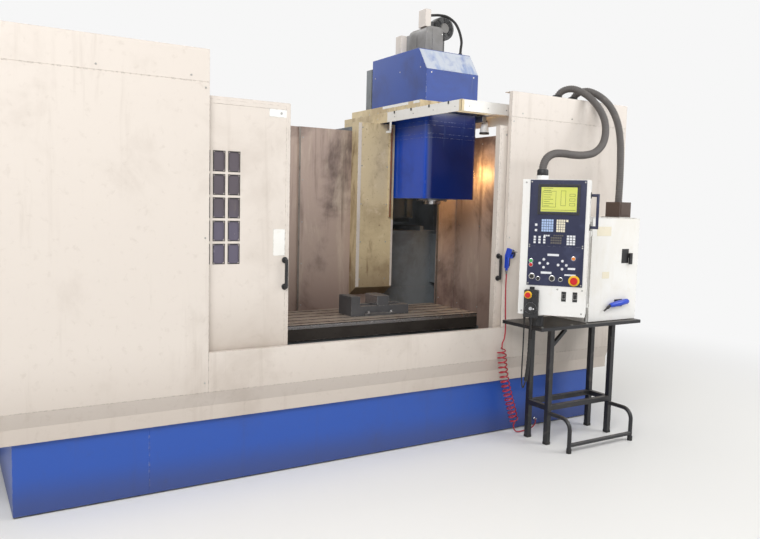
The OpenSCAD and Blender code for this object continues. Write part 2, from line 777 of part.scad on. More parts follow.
// Column: a deck with the Y rails between two tall cheeks, and the tool drum's arm and axle
module column() {
    x0 = unit_x - column_w / 2;
    x1 = unit_x + column_w / 2;
    color("slategray") at_front() {
        difference() {
            union() {
                block([x0, column_y, saddle_top], [x1, column_rear, column_deck]);
                for (x = [x0, x1 - cheek_t]) along_x(x, x + cheek_t)
                    polygon([[column_y + 60, column_deck - 1], [column_y + 130, cheek_top],
                             [column_rear - 250, cheek_top], [column_rear - 30, column_deck - 1]]);
            }
            block([x0 + 60, column_y + 60, saddle_top - 1], [x1 - 60, column_rear - 60, column_deck - 60]);
            for (y = [1480, 1800]) translate([x0 - 1, y, 1000]) rod_x(90, column_w + 2);
            for (y = [1520, 1740]) translate([x0 - 1, y, 1600]) rod_x(75, column_w + 2);
        }
        for (s = [-1, 1])
            block([unit_x + s * y_rail_dx - y_rail_w / 2, column_y + 20, column_deck],
                  [unit_x + s * y_rail_dx + y_rail_w / 2, column_rear - 20, column_deck + y_rail_h]);
        block([left_plate_right - 80, plate_y + fold_t, saddle_top + 30],
              [left_plate_right - fold_t, column_y - slide_gap, column_deck - 20]);
        block([right_plate_left + fold_t, plate_y + fold_t, saddle_top + 30],
              [right_plate_left + 20, column_y - slide_gap, column_deck - 20]);
        block([drum_x - 50, drum_y + 310, drum_z - 50], [x0, drum_y + 350, drum_z + 50]);
        translate([drum_x, drum_y - 10, drum_z]) rod_y(drum_axle_r, 330);
    }
}

// Tool drum: a disc with a ring of forward-facing tool pockets
module tool_drum() {
    ring_r = drum_r - 32;
    color("dimgray") at_front() translate([drum_x, drum_y, drum_z]) difference() {
        union() {
            rod_y(ring_r + 10, 24);
            rod_y(58, 130);
            for (i = [0:pocket_count - 1]) rotate([0, i * 360 / pocket_count, 0])
                translate([ring_r, 0, 0]) rod_y(26, 95);
        }
        translate([0, -1, 0]) rod_y(drum_axle_r + pin_play, 140);
        for (i = [0:pocket_count - 1]) rotate([0, i * 360 / pocket_count, 0])
            translate([ring_r, -1, 0]) rotate([-90, 0, 0]) cylinder(r1 = 22, r2 = 13, h = 70, $fn = 24);
        for (i = [0:5]) rotate([0, i * 60, 0]) translate([ring_r * 0.58, -1, 0]) rod_y(34, 30);
    }
}

// Canopy: the flanged roof of the unit, with a slot for the head's travel
module canopy() {
    x0 = unit_x - canopy_w / 2;
    x1 = unit_x + canopy_w / 2;
    low = canopy_z - canopy_flange;
    front = 78;
    back = 1500;
    slot_x = head_w / 2 + 20;
    color("white") at_front() difference() {
        block([x0, front, low], [x1, back, canopy_z + sheet_t]);
        block([x0 + fold_t, front + fold_t, low - 1], [x1 - fold_t, back - fold_t, canopy_z]);
        block([unit_x - slot_x, front + 6, canopy_z - 1], [unit_x + slot_x, 1460, canopy_z + sheet_t + 1]);
        for (y = [300:200:1300]) block([x0 - 1, y, canopy_z + sheet_t - 7], [x0 + 4, y + 7, canopy_z + sheet_t + 1]);
    }
}

// Magazine cover: a tall pan left of the head with a sloped underside and a guide strip
module magazine_cover() {
    x1 = head_x0 - fold_t;
    x0 = x1 - mag_cover_w;
    front = plate_y - 90;
    low = 813;
    top = cheek_top - slide_gap;
    color("tan") at_front() {
        difference() {
            along_x(x0, x1) polygon([[front, low], [plate_y, low - 58], [plate_y, top], [front, top]]);
            along_x(x0 + fold_t, x1 - fold_t)
                polygon([[front + fold_t, low + 1], [plate_y + 1, low - 56], [plate_y + 1, top - fold_t],
                         [front + fold_t, top - fold_t]]);
        }
        block([x1 - 44, front - 12, 1300], [x1 - 20, front, top - 20]);
    }
}

// One telescopic cover plate: a tall sheet with folded edges
module cover_plate(x, w, y) {
    color("rosybrown") at_front() {
        block([x, y, plate_low + slide_gap], [x + w, y + fold_t, plate_top]);
        for (e = [x, x + w - fold_t])
            block([e, y + fold_t - 1, plate_low + slide_gap], [e + fold_t, y + plate_step - 4, plate_top]);
    }
}
module saddle_plates() {
    cover_plate(left_plate_right - left_plate_w, left_plate_w, plate_y);
    cover_plate(right_plate_left, right_plate_w, plate_y);
}
module left_plate_inner() cover_plate(left_fixed_x + 2 * left_gap, left_plate_w, plate_y + plate_step);
module left_plate_outer() cover_plate(left_fixed_x + left_gap, left_plate_w, plate_y + 2 * plate_step);
module right_plate_inner() cover_plate(right_plate_left + right_gap, right_plate_w, plate_y + plate_step);
module right_plate_outer() cover_plate(right_plate_left + 2 * right_gap, right_plate_w, plate_y + 2 * plate_step);

// Ram: a hollow beam on four carriages with an upright plate for the Z rails
module ram() {
    rear = ram_rear;
    plate_top_z = cover_top - 50;
    color("slategray") at_front() {
        difference() {
            union() {
                block([unit_x - 215, ram_front + 70, column_deck + 60], [unit_x + 215, rear, column_deck + 90]);
                block([unit_x - 150, ram_front + 70, column_deck + 80], [unit_x + 150, rear, 1900]);
                block([unit_x - 200, ram_front, column_deck + 90], [unit_x + 200, ram_front + 75, plate_top_z]);
                for (s = [-1, 1], y = [1770, 2060])
                    block([unit_x + s * y_rail_dx - 38, y - 60, column_deck + 10],
                          [unit_x + s * y_rail_dx + 38, y + 60, column_deck + 61]);
            }
            for (s = [-1, 1])
                block([unit_x + s * y_rail_dx - y_rail_w / 2 - slide_gap, 1600, column_deck],
                      [unit_x + s * y_rail_dx + y_rail_w / 2 + slide_gap, rear + 1,
                       column_deck + y_rail_h + slide_gap]);
            block([unit_x - 120, ram_front + 110, column_deck + 110], [unit_x + 120, rear + 1, 1870]);
            for (y = [1640, 1860, 2080]) translate([unit_x - 151, y, 1600]) rod_x(80, 302);
        }
        for (s = [-1, 1])
            block([unit_x + s * z_rail_dx - z_rail_w / 2, z_rail_front, column_deck + 100],
                  [unit_x + s * z_rail_dx + z_rail_w / 2, ram_front, plate_top_z - 10]);
    }
}

// Coaming: an angle frame that slides on the canopy and closes the slot round the head
module coaming() {
    low = canopy_z + sheet_t + slide_gap;
    high = low + 53;
    half = canopy_w / 2 - 38;
    front = head_front - 40;
    back = 1458;
    hole_x = head_w / 2 + 7;
    color("burlywood") at_front() difference() {
        block([unit_x - half, front, low], [unit_x + half, back, high]);
        block([unit_x - half + 3, front + 3, low - 1], [unit_x + half - 3, back - 3, high - 3]);
        block([unit_x - hole_x, head_front - 7, low - 1], [unit_x + hole_x, ram_front + 75, high + 1]);
    }
}

// Spindle head casting with four carriages that straddle the Z rails
module spindle_head() {
    color("slategray") at_front() difference() {
        union() {
            block([unit_x - 140, head_front + 100, shaft_z + 219], [unit_x + 140, head_front + 550, 2300]);
            block([unit_x - 185, head_front + 550 + slide_gap, 1860],
                  [unit_x + 185, z_rail_front - 60, 2370]);
            translate([unit_x, spindle_y, shaft_z]) cylinder(r = nose_bush_r, h = 220);
            block([unit_x - 110, head_front + 150, 2299], [unit_x + 110, head_front + 350, cover_top - 3.3]);
            for (s = [-1, 1], z = [1960, 2290])
                block([unit_x + s * z_rail_dx - 38, z_rail_front - 61, z - 65],
                      [unit_x + s * z_rail_dx + 38, z_rail_front + 22, z + 65]);
        }
        for (s = [-1, 1])
            block([unit_x + s * z_rail_dx - z_rail_w / 2 - slide_gap, z_rail_front - slide_gap, 1800],
                  [unit_x + s * z_rail_dx + z_rail_w / 2 + slide_gap, ram_front, 2400]);
        translate([unit_x, spindle_y, shaft_z - 1]) cylinder(r = spindle_r + pin_play, h = 680);
    }
}

// Spindle: nose flange with its steep taper, and the shaft in the head's bore
module spindle() {
    nose_r = spindle_r - 3;
    color("silver") at_front() translate([unit_x, spindle_y, 0]) difference() {
        union() {
            translate([0, 0, nose_z]) cylinder(r = nose_r, h = shaft_z - nose_z);
            translate([0, 0, shaft_z]) cylinder(r = spindle_r, h = 660);
        }
        translate([0, 0, nose_z - 0.01]) cylinder(r1 = 22.23, r2 = 12.3, h = 68);
        translate([0, 0, nose_z + 60]) cylinder(r = 8.5, h = 700);
        for (s = [-1, 1]) block([s * 33 - 8, -8, nose_z - 1], [s * 33 + 8, 8, nose_z + 6]);
    }
}

// Outline of the lower head cover, with round front corners
module cover_outline(half, front, back, r) {
    hull() {
        for (s = [-1, 1]) {
            translate([s * (half - r), front + r]) circle(r = r, $fn = 32);
            translate([s * (half - 1), back - 1]) square(2, center = true);
        }
    }
}

// Lower head cover: a shell with two raised bands
module head_cover() {
    top = canopy_z + 2;
    color("mediumblue") at_front() translate([unit_x, 0, 0]) difference() {
        union() {
            translate([0, 0, head_low]) linear_extrude(top - head_low)
                cover_outline(lower_half - 2, head_front + 2, lower_back, 44);
            for (z = [top - 92, top - 172]) translate([0, 0, z]) linear_extrude(26)
                cover_outline(lower_half, head_front, lower_back, 46);
        }
        translate([0, 0, head_low + 3]) linear_extrude(top)
            cover_outline(lower_half - 5, head_front + 5, lower_back + 10, 41);
        translate([0, spindle_y, head_low - 1]) cylinder(r = nose_bush_r + slide_gap, h = 5);
        block([-nose_bush_r - 1, spindle_y, head_low - 1], [nose_bush_r + 1, lower_back + 1, head_low + 4]);
    }
}

// Upper head cover: a folded sheet box with a sloped front edge, open below and behind
module upper_profile(t) {
    polygon([[upper_front + t, canopy_z + 2 - (t > 0 ? 1 : 0)], [upper_front + t, 2280 - t * 0.4],
             [upper_front + 100 + t * 0.4, cover_top - t], [upper_back + (t > 0 ? 1 : 0), cover_top - t],
             [upper_back + (t > 0 ? 1 : 0), canopy_z + 2 - (t > 0 ? 1 : 0)]]);
}
module upper_cover() {
    color("royalblue") at_front() difference() {
        along_x(head_x0, head_x1) upper_profile(0);
        along_x(head_x0 + fold_t, head_x1 - fold_t) upper_profile(fold_t);
    }
}

// Spindle motor on the head: housing with a domed shoulder, terminal box, fan and a small box
module spindle_motor() {
    x0 = unit_x - 152;
    x1 = unit_x + 133;
    y0 = upper_front + 240;
    z1 = cover_top + 212;
    color("gray") at_front() {
        difference() {
            along_y(y0, y0 + 270) union() {
                translate([x0 + 90, z1 - 90]) circle(r = 90, $fn = 48);
                polygon([[x0, cover_top], [x1, cover_top], [x1, z1 - 30], [x1 - 30, z1], [x0 + 90, z1],
                         [x0, z1 - 90]]);
            }
            for (x = [x0 + 110:28:x1 - 30]) block([x, y0 - 1, cover_top + 60], [x + 6, y0 + 5, z1 - 40]);
        }
        block([x0 + 120, y0 + 20, z1], [x0 + 162, y0 + 110, z1 + 105]);
        block([x0 - 58, y0 + 30, cover_top], [x0 - 6, y0 + 120, cover_top + 125]);
        translate([x1 - 40, y0 + 270, z1 - 62]) rod_y(92, 80);
        block([x1 - 90, y0 + 270, cover_top], [x1 + 10, y0 + 350, z1 - 100]);
    }
}

// Sets the pendant's place and turn
module at_pendant()
    at_front() translate([pendant_pivot[0], pendant_pivot[1], 0]) rotate([0, 0, -pendant_turn]) children();

module pendant_housing() {
    color("white") at_pendant() {
        difference() {
            union() {
                block([face_x0, face_y, pendant_low], [face_x1, -face_y, pendant_top]);
                translate([0, 0, stand_h + 2 + slide_gap]) cylinder(r = pivot_r, h = pendant_low - stand_h);
                translate([0, 0, stand_h + 60 + slide_gap]) cylinder(r = 38, h = pendant_low - stand_h - 60);
                translate([0, 0, pendant_top - 1]) cylinder(r = 34, h = 26);
            }
            block([face_x0 + 3, face_y + 6, pendant_low + 3], [face_x1 - 3, -face_y - 3, pendant_top - 3]);
            block([panel_x0 + 12, face_y - 1, panel_low + 12], [panel_x1 - 12, face_y + 7, pendant_top - 14]);
            translate([0, 0, pendant_top - 5]) cylinder(r = conduit_d / 2 - 4, h = 40);
            for (x = rocker_xs) translate([x - 8, face_y + 3, rocker_z]) rod_x(rocker_r + 0.3, 16);
            for (z = [pendant_low + 60:16:pendant_low + 140])
                block([face_x0 - 1, face_y + 60, z], [face_x0 + 4, face_y + 150, z + 6]);
        }
        for (x = rocker_xs) difference() {
            translate([x - 12, face_y + 5, rocker_z - 24]) cube([24, 12, 48]);
            translate([x - 8, face_y + 3, rocker_z]) rod_x(rocker_r + 0.3, 16);
            block([x - 8, face_y - 1, rocker_z - 12], [x + 8, face_y + 3.5, rocker_z + 12]);
        }
    }
}

// Navy panel with the screen's recess, the grab handle at its right side and the stop's bush
module pendant_panel() {
    grip = 47;
    handle_z0 = 1290;
    handle_z1 = 1466;
    color("midnightblue") at_pendant() {
        difference() {
            union() {
                block([panel_x0, face_y - panel_t, panel_low], [panel_x1, face_y, pendant_top - 3]);
                block([screen_x0 - 12, face_y - panel_t - 3, screen_low - 12],
                      [screen_x0 + screen_w + 12, face_y, screen_low + screen_h + 12]);
            }
            block([screen_x0, face_y - panel_t - 4, screen_low],
                  [screen_x0 + screen_w, face_y - 1, screen_low + screen_h]);
            block([panel_x0 + 6, face_y - panel_t - 1, 1180], [panel_x1 - 6, face_y - panel_t + 1, 1183]);
            translate([stop_x, face_y - 10, stop_z]) rod_y(stop_stem_r + pin_play, 20);
        }
        for (z = [handle_z0, handle_z1]) translate([face_x1, face_y + 60, z]) rod_x(8, grip - 10);
        translate([face_x1 + grip - 8, face_y + 60, handle_z0 - 8]) cylinder(r = 8, h = handle_z1 - handle_z0 + 16);
    }
}

// Keys and small switches, which stand on the panel in groups
module key_grid(x, z, cols, rows, w, h, px, pz)
    for (c = [0:cols - 1], r = [0:rows - 1])
        block([x + c * px, face_y - panel_t - 2, z + r * pz],
              [x + c * px + w, face_y - panel_t, z + r * pz + h]);
module round_keys(x, z, r, spread)
    for (a = [0:90:270])
        translate([x + spread * cos(a), face_y - panel_t - 4, z + spread * sin(a)]) rod_y(r, 4);
module pendant_keypad() {
    color("lightsteelblue") at_pendant() {
        key_grid(face_x0 + 112, 1262, 5, 5, 10, 11, 13, 14);
        key_grid(face_x0 + 192, 1262, 4, 5, 9, 11, 12, 14);
        key_grid(face_x0 + 76, 1262, 1, 2, 12, 12, 20, 30);
        key_grid(face_x0 + 72, 1196, 3, 3, 11, 10, 26, 15);
        key_grid(face_x0 + 164, 1196, 5, 3, 9, 9, 12, 14);
        key_grid(face_x0 + 250, 1192, 3, 4, 12, 10, 16, 14);
        round_keys(face_x0 + 132, 1086, 7, 22);
        round_keys(face_x0 + 232, 1080, 7, 22);
        for (p = [[62, 1076], [62, 1098], [104, 1000], [226, 1000], [290, 1118]])
            translate([face_x0 + p[0], face_y - panel_t - 8, p[1]]) rod_y(9, 8);
        for (p = [[70, 1012], [180, 1004]])
            translate([face_x0 + p[0], face_y - panel_t - 16, p[1]]) rod_y(13, 16);
    }
}

// Emergency stop: a mushroom head on a stem that slides in a bush
module stop_button(r, stem_r, bush_y, travel_gap, stem_len) {
    translate([0, bush_y - travel_gap - 16, 0]) {
        rod_y(r, 12);
        translate([0, 12, 0]) rod_y(stem_r, stem_len);
    }
}
module pendant_stop() {
    color("red") at_pendant() translate([stop_x, 0, stop_z])
        stop_button(20, stop_stem_r, face_y - panel_t, 8, 30);
}
module rocker(x) {
    color("black") at_pendant() difference() {
        translate([x - 7.7, face_y + 3, rocker_z]) rod_x(rocker_r, 15.4);
        block([x - 9, face_y - 12, rocker_z - 14], [x + 9, face_y - 3, rocker_z + 14]);
    }
}
module rocker_left() rocker(rocker_xs[0]);
module rocker_right() rocker(rocker_xs[1]);

// Hand pulse box hung on the pendant, with its wheel and its own stop
module pulse_box() {
    color("black") at_pendant() difference() {
        union() {
            block([pulse_x0, pulse_y, pulse_low], [pulse_x0 + pulse_w, face_y, pulse_low + pulse_h]);
            translate([pulse_mid, face_y - 22, pulse_low - 16]) cylinder(r = 10, h = 17);
            for (x = [pulse_x0 + 48, pulse_x0 + 64])
                translate([x, pulse_y - 8, pulse_low + pulse_h - 26]) rod_y(6, 9);
        }
        translate([pulse_mid, pulse_y - 1, wheel_z]) rod_y(wheel_stem_r + pin_play, 20);
        translate([pulse_stop_at[0], pulse_y - 1, pulse_stop_at[1]]) rod_y(pulse_stem_r + pin_play, 30);
    }
}
module pulse_wheel() {
    color("gray") at_pendant() translate([pulse_mid, 0, wheel_z]) {
        difference() {
            translate([0, pulse_y - 13, 0]) rod_y(29, 12.6);
            for (i = [0:23]) rotate([0, i * 15, 0]) translate([29.6, pulse_y - 14, 0]) rod_y(1.6, 16);
        }
        translate([0, pulse_y - 1, 0]) rod_y(wheel_stem_r, 18);
        translate([18, pulse_y - 22, 0]) rod_y(4, 10);
    }
}
module pulse_stop() {
    color("red") at_pendant() translate([pulse_stop_at[0], 0, pulse_stop_at[1]])
        stop_button(15, pulse_stem_r, pulse_y, 6, 22);
}

// Air gun held by a magnet disc on the right housing
module air_gun() {
    color("blue") at_front() translate(gun_at) {
        block([-9, -10, 0], [9, 10, 74]);
        translate([0, 0, 66]) rotate([0, 20, 0]) block([-12, -10, 0], [14, 10, 52]);
        translate([18, 0, 104]) rotate([0, 100, 0]) cylinder(r = 4, h = 12);
        block([14, -3, 10], [20, 3, 74]);
        translate([0, 0, -14]) cylinder(r = 8, h = 14);
    }
    color("black") at_front() difference() {
        translate([half_open + 32, housing_y - 20, magnet_z]) rod_y(26, 20);
        translate([half_open + 32, housing_y - 21, magnet_z]) rod_y(9, 8);
    }
    color("black") at_front() {
        block([gun_at[0] + 9, gun_at[1] + 1, magnet_z - 26], [half_open + 16, gun_at[1] + 9, magnet_z - 16]);
        block([half_open + 15, gun_at[1] + 1, magnet_z - 26], [half_open + 24, housing_y - 4, magnet_z - 2]);
    }
}

// Routes of the hoses and the cable, as points in X, Y and Z, with the tube's radius at each point
pendant_route = [
    [919, -303, 1573], [919, -303, 1620], [944, -301, 1668], [1000, -297, 1698], [1080, -290, 1706],
    [1180, -278, 1704], [1290, -262, 1710], [1400, -240, 1735], [1490, -215, 1792], [1542, -186, 1870],
    [1560, -150, 1960], [1542, -100, 2046], [1504, -34, 2116], [1462, 36, 2150], [1430, 90, 2136],
    [1420, 120, 2098], [1420, 120, 2075],
];
cabinet_route = [
    [1640, -230, 1367], [1640, -230, 1440], [1648, -225, 1560], [1660, -212, 1690], [1672, -192, 1820],
    [1674, -160, 1940], [1660, -105, 2046], [1632, -34, 2116], [1598, 40, 2150], [1570, 94, 2134],
    [1560, 120, 2098], [1560, 120, 2075],
];
hose_route = [
    [892, -63, 1016], [892, -63, 880], [898, -63, 740], [902, -63, 650], [894, -64, 600], [880, -65, 575],
    [880, -65, 556],
];
floor_route = [
    [1000, -62, 60], [1000, -62, 48], [1005, -62, 32], [1016, -62, 18], [1034, -61, 10], [1060, -60, 8],
    [1110, -54, 8], [1160, -42, 9], [1206, -26, 18], [1234, -8, 34], [1243, 6, 45], [1244, 13, 48],
    [1244, 20, 48],
];
coil_route = [
    [880, -65, 556], [880, -65, 520], [890, -66, 440], [912, -66, 340], [946, -65, 240], [980, -63, 150],
    [1000, -62, 85], [1000, -62, 60],
];
pulse_route = [
    [815, -369, 768], [815, -369, 700], [814, -369, 640], [812, -368, 560], [808, -364, 470], [806, -350, 400],
    [808, -334, 376], [814, -318, 400], [820, -308, 470], [823, -307, 600], [823, -307, 700], [823, -307, 796],
];
pulse_radii = [4, 4, 11, 11, 9, 8, 8, 8, 6, 4, 4, 4];

function unit(v) = v / norm(v);
function heading(p, i) = unit(p[min(i + 1, len(p) - 1)] - p[max(i - 1, 0)]);
function side_of(p, i) =
    let (before = i == 0 ? [0.31, 0.95, 0.05] : side_of(p, i - 1), t = heading(p, i))
    unit(before - (before * t) * t);
function ring(p, r, i, sides) =
    let (t = heading(p, i), a = side_of(p, i), b = cross(t, a))
    [for (j = [0:sides - 1]) p[i] + r * (cos(j * 360 / sides) * a + sin(j * 360 / sides) * b)];

// Tube along a route, with one ring at each point
module tube(route, radii, sides = 10) {
    last = len(route) - 1;
    rings = [for (i = [0:last]) each ring(route, radii[min(i, len(radii) - 1)], i, sides)];
    walls = [for (i = [0:last - 1], j = [0:sides - 1])
        [i * sides + j, i * sides + (j + 1) % sides, (i + 1) * sides + (j + 1) % sides, (i + 1) * sides + j]];
    near_end = [for (j = [0:sides - 1]) sides - 1 - j];
    far_end = [for (j = [0:sides - 1]) last * sides + j];
    polyhedron(points = rings, faces = [for (f = concat(walls, [near_end, far_end])) [for (k = [len(f) - 1:-1:0]) f[k]]],
               convexity = 6);
}
module pendant_conduit() color("dimgray") at_front() tube(pendant_route, [conduit_d / 2]);
module cabinet_conduit() color("dimgray") at_front() tube(cabinet_route, [conduit_d / 2]);
module air_hose() color("crimson") at_front() {
    tube(hose_route, [hose_d / 2], 8);
    tube(floor_route, [hose_d / 2], 8);
}
module air_hose_coil() color("crimson") at_front() tube(coil_route, [coil_d / 2]);
module pulse_cable() color("black") at_front() tube(pulse_route, pulse_radii, 8);

bed();
levelling_pads();
base_skirt();
lower_fascia();
front_apron();
left_housing();
right_housing();
splash_walls();
chip_troughs();
work_table();
vise_base();
vise_jaw();
vise_screw();
x_rails();
stand();
nc_cabinet();
nc_door();
nc_latch();
electrical_cabinet();
cabinet_door();
coolant_tank();
pendant_conduit();
cabinet_conduit();
air_hose();
air_hose_coil();
air_gun();
pulse_cable();
work_lamp();
left_door();
left_door_glass();
left_door_handle();
right_door();
right_door_glass();
right_door_handle();
saddle();
column();
canopy();
magazine_cover();
saddle_plates();
left_plate_outer();
left_plate_inner();
right_plate_inner();
right_plate_outer();
ram();
coaming();
spindle_head();
head_cover();
upper_cover();
spindle_motor();
spindle();
tool_drum();
pendant_housing();
pendant_panel();
pendant_keypad();
pendant_stop();
rocker_left();
rocker_right();
pulse_box();
pulse_wheel();
pulse_stop();
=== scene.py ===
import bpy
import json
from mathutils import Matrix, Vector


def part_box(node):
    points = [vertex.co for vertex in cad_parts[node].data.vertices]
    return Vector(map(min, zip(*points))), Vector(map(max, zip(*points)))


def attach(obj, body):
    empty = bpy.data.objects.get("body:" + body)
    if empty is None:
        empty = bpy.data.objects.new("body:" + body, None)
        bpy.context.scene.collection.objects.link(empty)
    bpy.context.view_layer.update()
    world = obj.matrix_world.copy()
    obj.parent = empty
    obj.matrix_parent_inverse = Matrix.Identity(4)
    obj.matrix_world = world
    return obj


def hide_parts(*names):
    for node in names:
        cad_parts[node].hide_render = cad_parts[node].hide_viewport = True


bl_info = {
    "name": "Travelling-column machining center",
    "version": (1, 0, 0),
    "blender": (4, 5, 0),
    "location": "View3D > Sidebar > Machining Center",
    "description": "Dresses a travelling-column machining center: paint, glass, panels, hoses, small parts",
    "category": "Object",
}

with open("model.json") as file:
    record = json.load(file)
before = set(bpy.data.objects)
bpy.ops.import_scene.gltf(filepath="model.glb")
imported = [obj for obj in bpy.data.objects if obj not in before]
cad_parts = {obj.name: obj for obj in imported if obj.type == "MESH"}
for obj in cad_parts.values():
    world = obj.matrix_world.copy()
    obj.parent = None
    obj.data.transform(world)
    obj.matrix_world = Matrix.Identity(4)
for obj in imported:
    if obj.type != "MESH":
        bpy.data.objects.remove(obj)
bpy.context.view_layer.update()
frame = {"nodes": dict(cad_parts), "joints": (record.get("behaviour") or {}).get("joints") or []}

import json
import math

import bmesh
import bpy
from bpy.props import FloatProperty, FloatVectorProperty, PointerProperty
from mathutils import Matrix, Vector

NODES = frame["nodes"]
JOINTS = {joint["name"]: joint for joint in frame["joints"]}

# Depths below are measured to the rear from the plane of the base's front, before the skirt's setback
SKIRT_SETBACK = 0.020
FRONT_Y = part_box("base_skirt")[0].y - SKIRT_SETBACK

# Directions in which small parts stand out of a face
TO_LEFT, TO_RIGHT = (-1, 0, 0), (1, 0, 0)
TO_FRONT, TO_REAR = (0, -1, 0), (0, 1, 0)
DOWN, UP = (0, 0, -1), (0, 0, 1)

# The pendant's own axes: X across its face, Y into it, turned about its pivot
PENDANT_TURN = math.radians(48.8)
PENDANT_PIVOT = Vector(JOINTS["pendant_swivel"]["pos_m"])
PENDANT = Matrix.Translation((PENDANT_PIVOT.x, PENDANT_PIVOT.y, 0)) @ Matrix.Rotation(-PENDANT_TURN, 4, "Z")
FACE_WIDE, PANEL_THICK = 0.364, 0.004
FACE_X0 = -0.096
FACE_X1 = FACE_X0 + FACE_WIDE
FACE_Y = -0.100
PANEL_Y = FACE_Y - PANEL_THICK
PENDANT_TOP = 1.548


def at(x, depth, z):
    """A point of the frame from its depth behind the base's front plane."""
    return Vector((x, FRONT_Y + depth, z))


def tone(red, green, blue):
    """A linear colour from the 0 to 255 values that a screen shows."""
    def linear(value):
        share = value / 255
        return share / 12.92 if share <= 0.04045 else ((share + 0.055) / 1.055) ** 2.4
    return (linear(red), linear(green), linear(blue), 1.0)


def spread(start, step, count):
    """Evenly spaced values."""
    return [start + step * i for i in range(count)]


def grid(xs, depths, zs):
    """Every point that has one of the X values, one of the depths and one of the heights."""
    return [at(x, depth, z) for x in xs for depth in depths for z in zs]


def reach(node):
    """The low and the high corner of a node's box, each as X, depth and Z."""
    return [(corner.x, corner.y - FRONT_Y, corner.z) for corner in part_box(node)]


def skin(name):
    """One of the finishes, by name."""
    return bpy.data.materials[name]


# Mesh making

def ring_faces(rings, sides):
    """Faces of a closed skin over rings of points: its walls, then its two ends."""
    faces = []
    for near in range(0, (rings - 1) * sides, sides):
        far = near + sides
        faces += [(near + i, near + (i + 1) % sides, far + (i + 1) % sides, far + i) for i in range(sides)]
    last = (rings - 1) * sides
    return faces + [tuple(reversed(range(sides))), tuple(range(last, last + sides))]


class Shape:
    """Gathers simple solids into one mesh, in the frame's axes or in axes of its own."""

    def __init__(self, place=None):
        self.bm = bmesh.new()
        self.place = place or Matrix.Identity(4)

    def _add(self, points, faces):
        verts = [self.bm.verts.new(self.place @ Vector(p)) for p in points]
        for face in faces:
            self.bm.faces.new([verts[i] for i in face])

    def block(self, low, high):
        """A block between two corners."""
        (x0, y0, z0), (x1, y1, z1) = low, high
        points = [(x, y, z) for z in (z0, z1) for x, y in ((x0, y0), (x1, y0), (x1, y1), (x0, y1))]
        self._add(points, ring_faces(2, 4))
        return self

    def prism(self, outline, base, across, up, depth):
        """A flat outline in the across and up directions, thickened by the depth vector."""
        across, up, depth, base = Vector(across), Vector(up), Vector(depth), Vector(base)
        near = [base + across * a + up * b for a, b in outline]
        far = [point + depth for point in near]
        self._add(near + far, ring_faces(2, len(outline)))
        return self

    def turned(self, profile, base, axis, sides=32):
        """A profile of (radius, distance along the axis), turned about the axis."""
        axis = Vector(axis).normalized()
        side = axis.orthogonal().normalized()
        other = axis.cross(side)
        base = Vector(base)
        points = []
        for radius, along in profile:
            for i in range(sides):
                turn = 2 * math.pi * i / sides
                points.append(base + axis * along + (side * math.cos(turn) + other * math.sin(turn)) * radius)
        self._add(points, ring_faces(len(profile), sides))
        return self

    def rod(self, start, end, radius, sides=16):
        """A round rod from one point to another."""
        start, end = Vector(start), Vector(end)
        return self.turned([(radius, 0), (radius, (end - start).length)], start, end - start, sides)

    def tube(self, path, radii, sides=10):
        """A closed tube along a path, with a radius for each point."""
        rings = rings_along(path, radii, sides)
        self._add([point for ring in rings for point in ring], ring_faces(len(rings), sides))
        return self

    def plates(self, *corners):
        """Thin plates, each between two corners given as X, depth and Z."""
        for low, high in corners:
            self.block(at(*low), at(*high))
        return self

    def border(self, low, high, side, end=None):
        """A border in the X and Z directions between two corners, its bars as wide as side and end say."""
        (x0, near, z0), (x1, far, z1) = low, high
        end = end or side
        self.block((x0, near, z0), (x1, far, z0 + end))
        self.block((x0, near, z1 - end), (x1, far, z1))
        self.block((x0, near, z0 + end), (x0 + side, far, z1 - end))
        return self.block((x1 - side, near, z0 + end), (x1, far, z1 - end))

    def screws(self, places, way, radius=0.006, rise=0.003):
        """Low screw heads that stand out of a face."""
        for place in places:
            self.turned([(radius, -0.001), (radius, rise * 0.5), (radius * 0.7, rise)], place, way, 12)
        return self

    def gland(self, place, way, radius, height):
        """A union nut with its collar."""
        nut, collar = radius * 1.32, radius * 1.16
        self.turned([(nut, 0), (nut, height * 0.3)], place, way, 6)
        profile = [(collar, height * 0.3), (collar, height * 0.82), (radius, height)]
        return self.turned(profile, place, way, 24)

    def piece(self, name, body, finish, slot=None, bevel=0.0, segments=2, smooth_angle=35, stands_for=()):
        """Closes the shape into one object that rides on a body."""
        bmesh.ops.recalc_face_normals(self.bm, faces=self.bm.faces)
        mesh = bpy.data.meshes.new(name)
        self.bm.to_mesh(mesh)
        self.bm.free()
        for polygon in mesh.polygons:
            polygon.use_smooth = True
        mesh.set_sharp_from_angle(angle=math.radians(smooth_angle))
        mesh.materials.append(skin(finish))
        made = bpy.data.objects.new(name, mesh)
        bpy.context.scene.collection.objects.link(made)
        if bevel:
            round_edges(made, bevel, segments)
        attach(made, body)
        if stands_for:
            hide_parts(*stands_for)
        return made


def round_edges(made, width, segments=2, sharper_than=40):
    """Rounds the edges of an object that are sharper than an angle in degrees."""
    bevel = made.modifiers.new("Round", "BEVEL")
    bevel.width = width
    bevel.segments = segments
    bevel.limit_method = "ANGLE"
    bevel.angle_limit = math.radians(sharper_than)
    bevel.harden_normals = True
    bevel.use_clamp_overlap = True


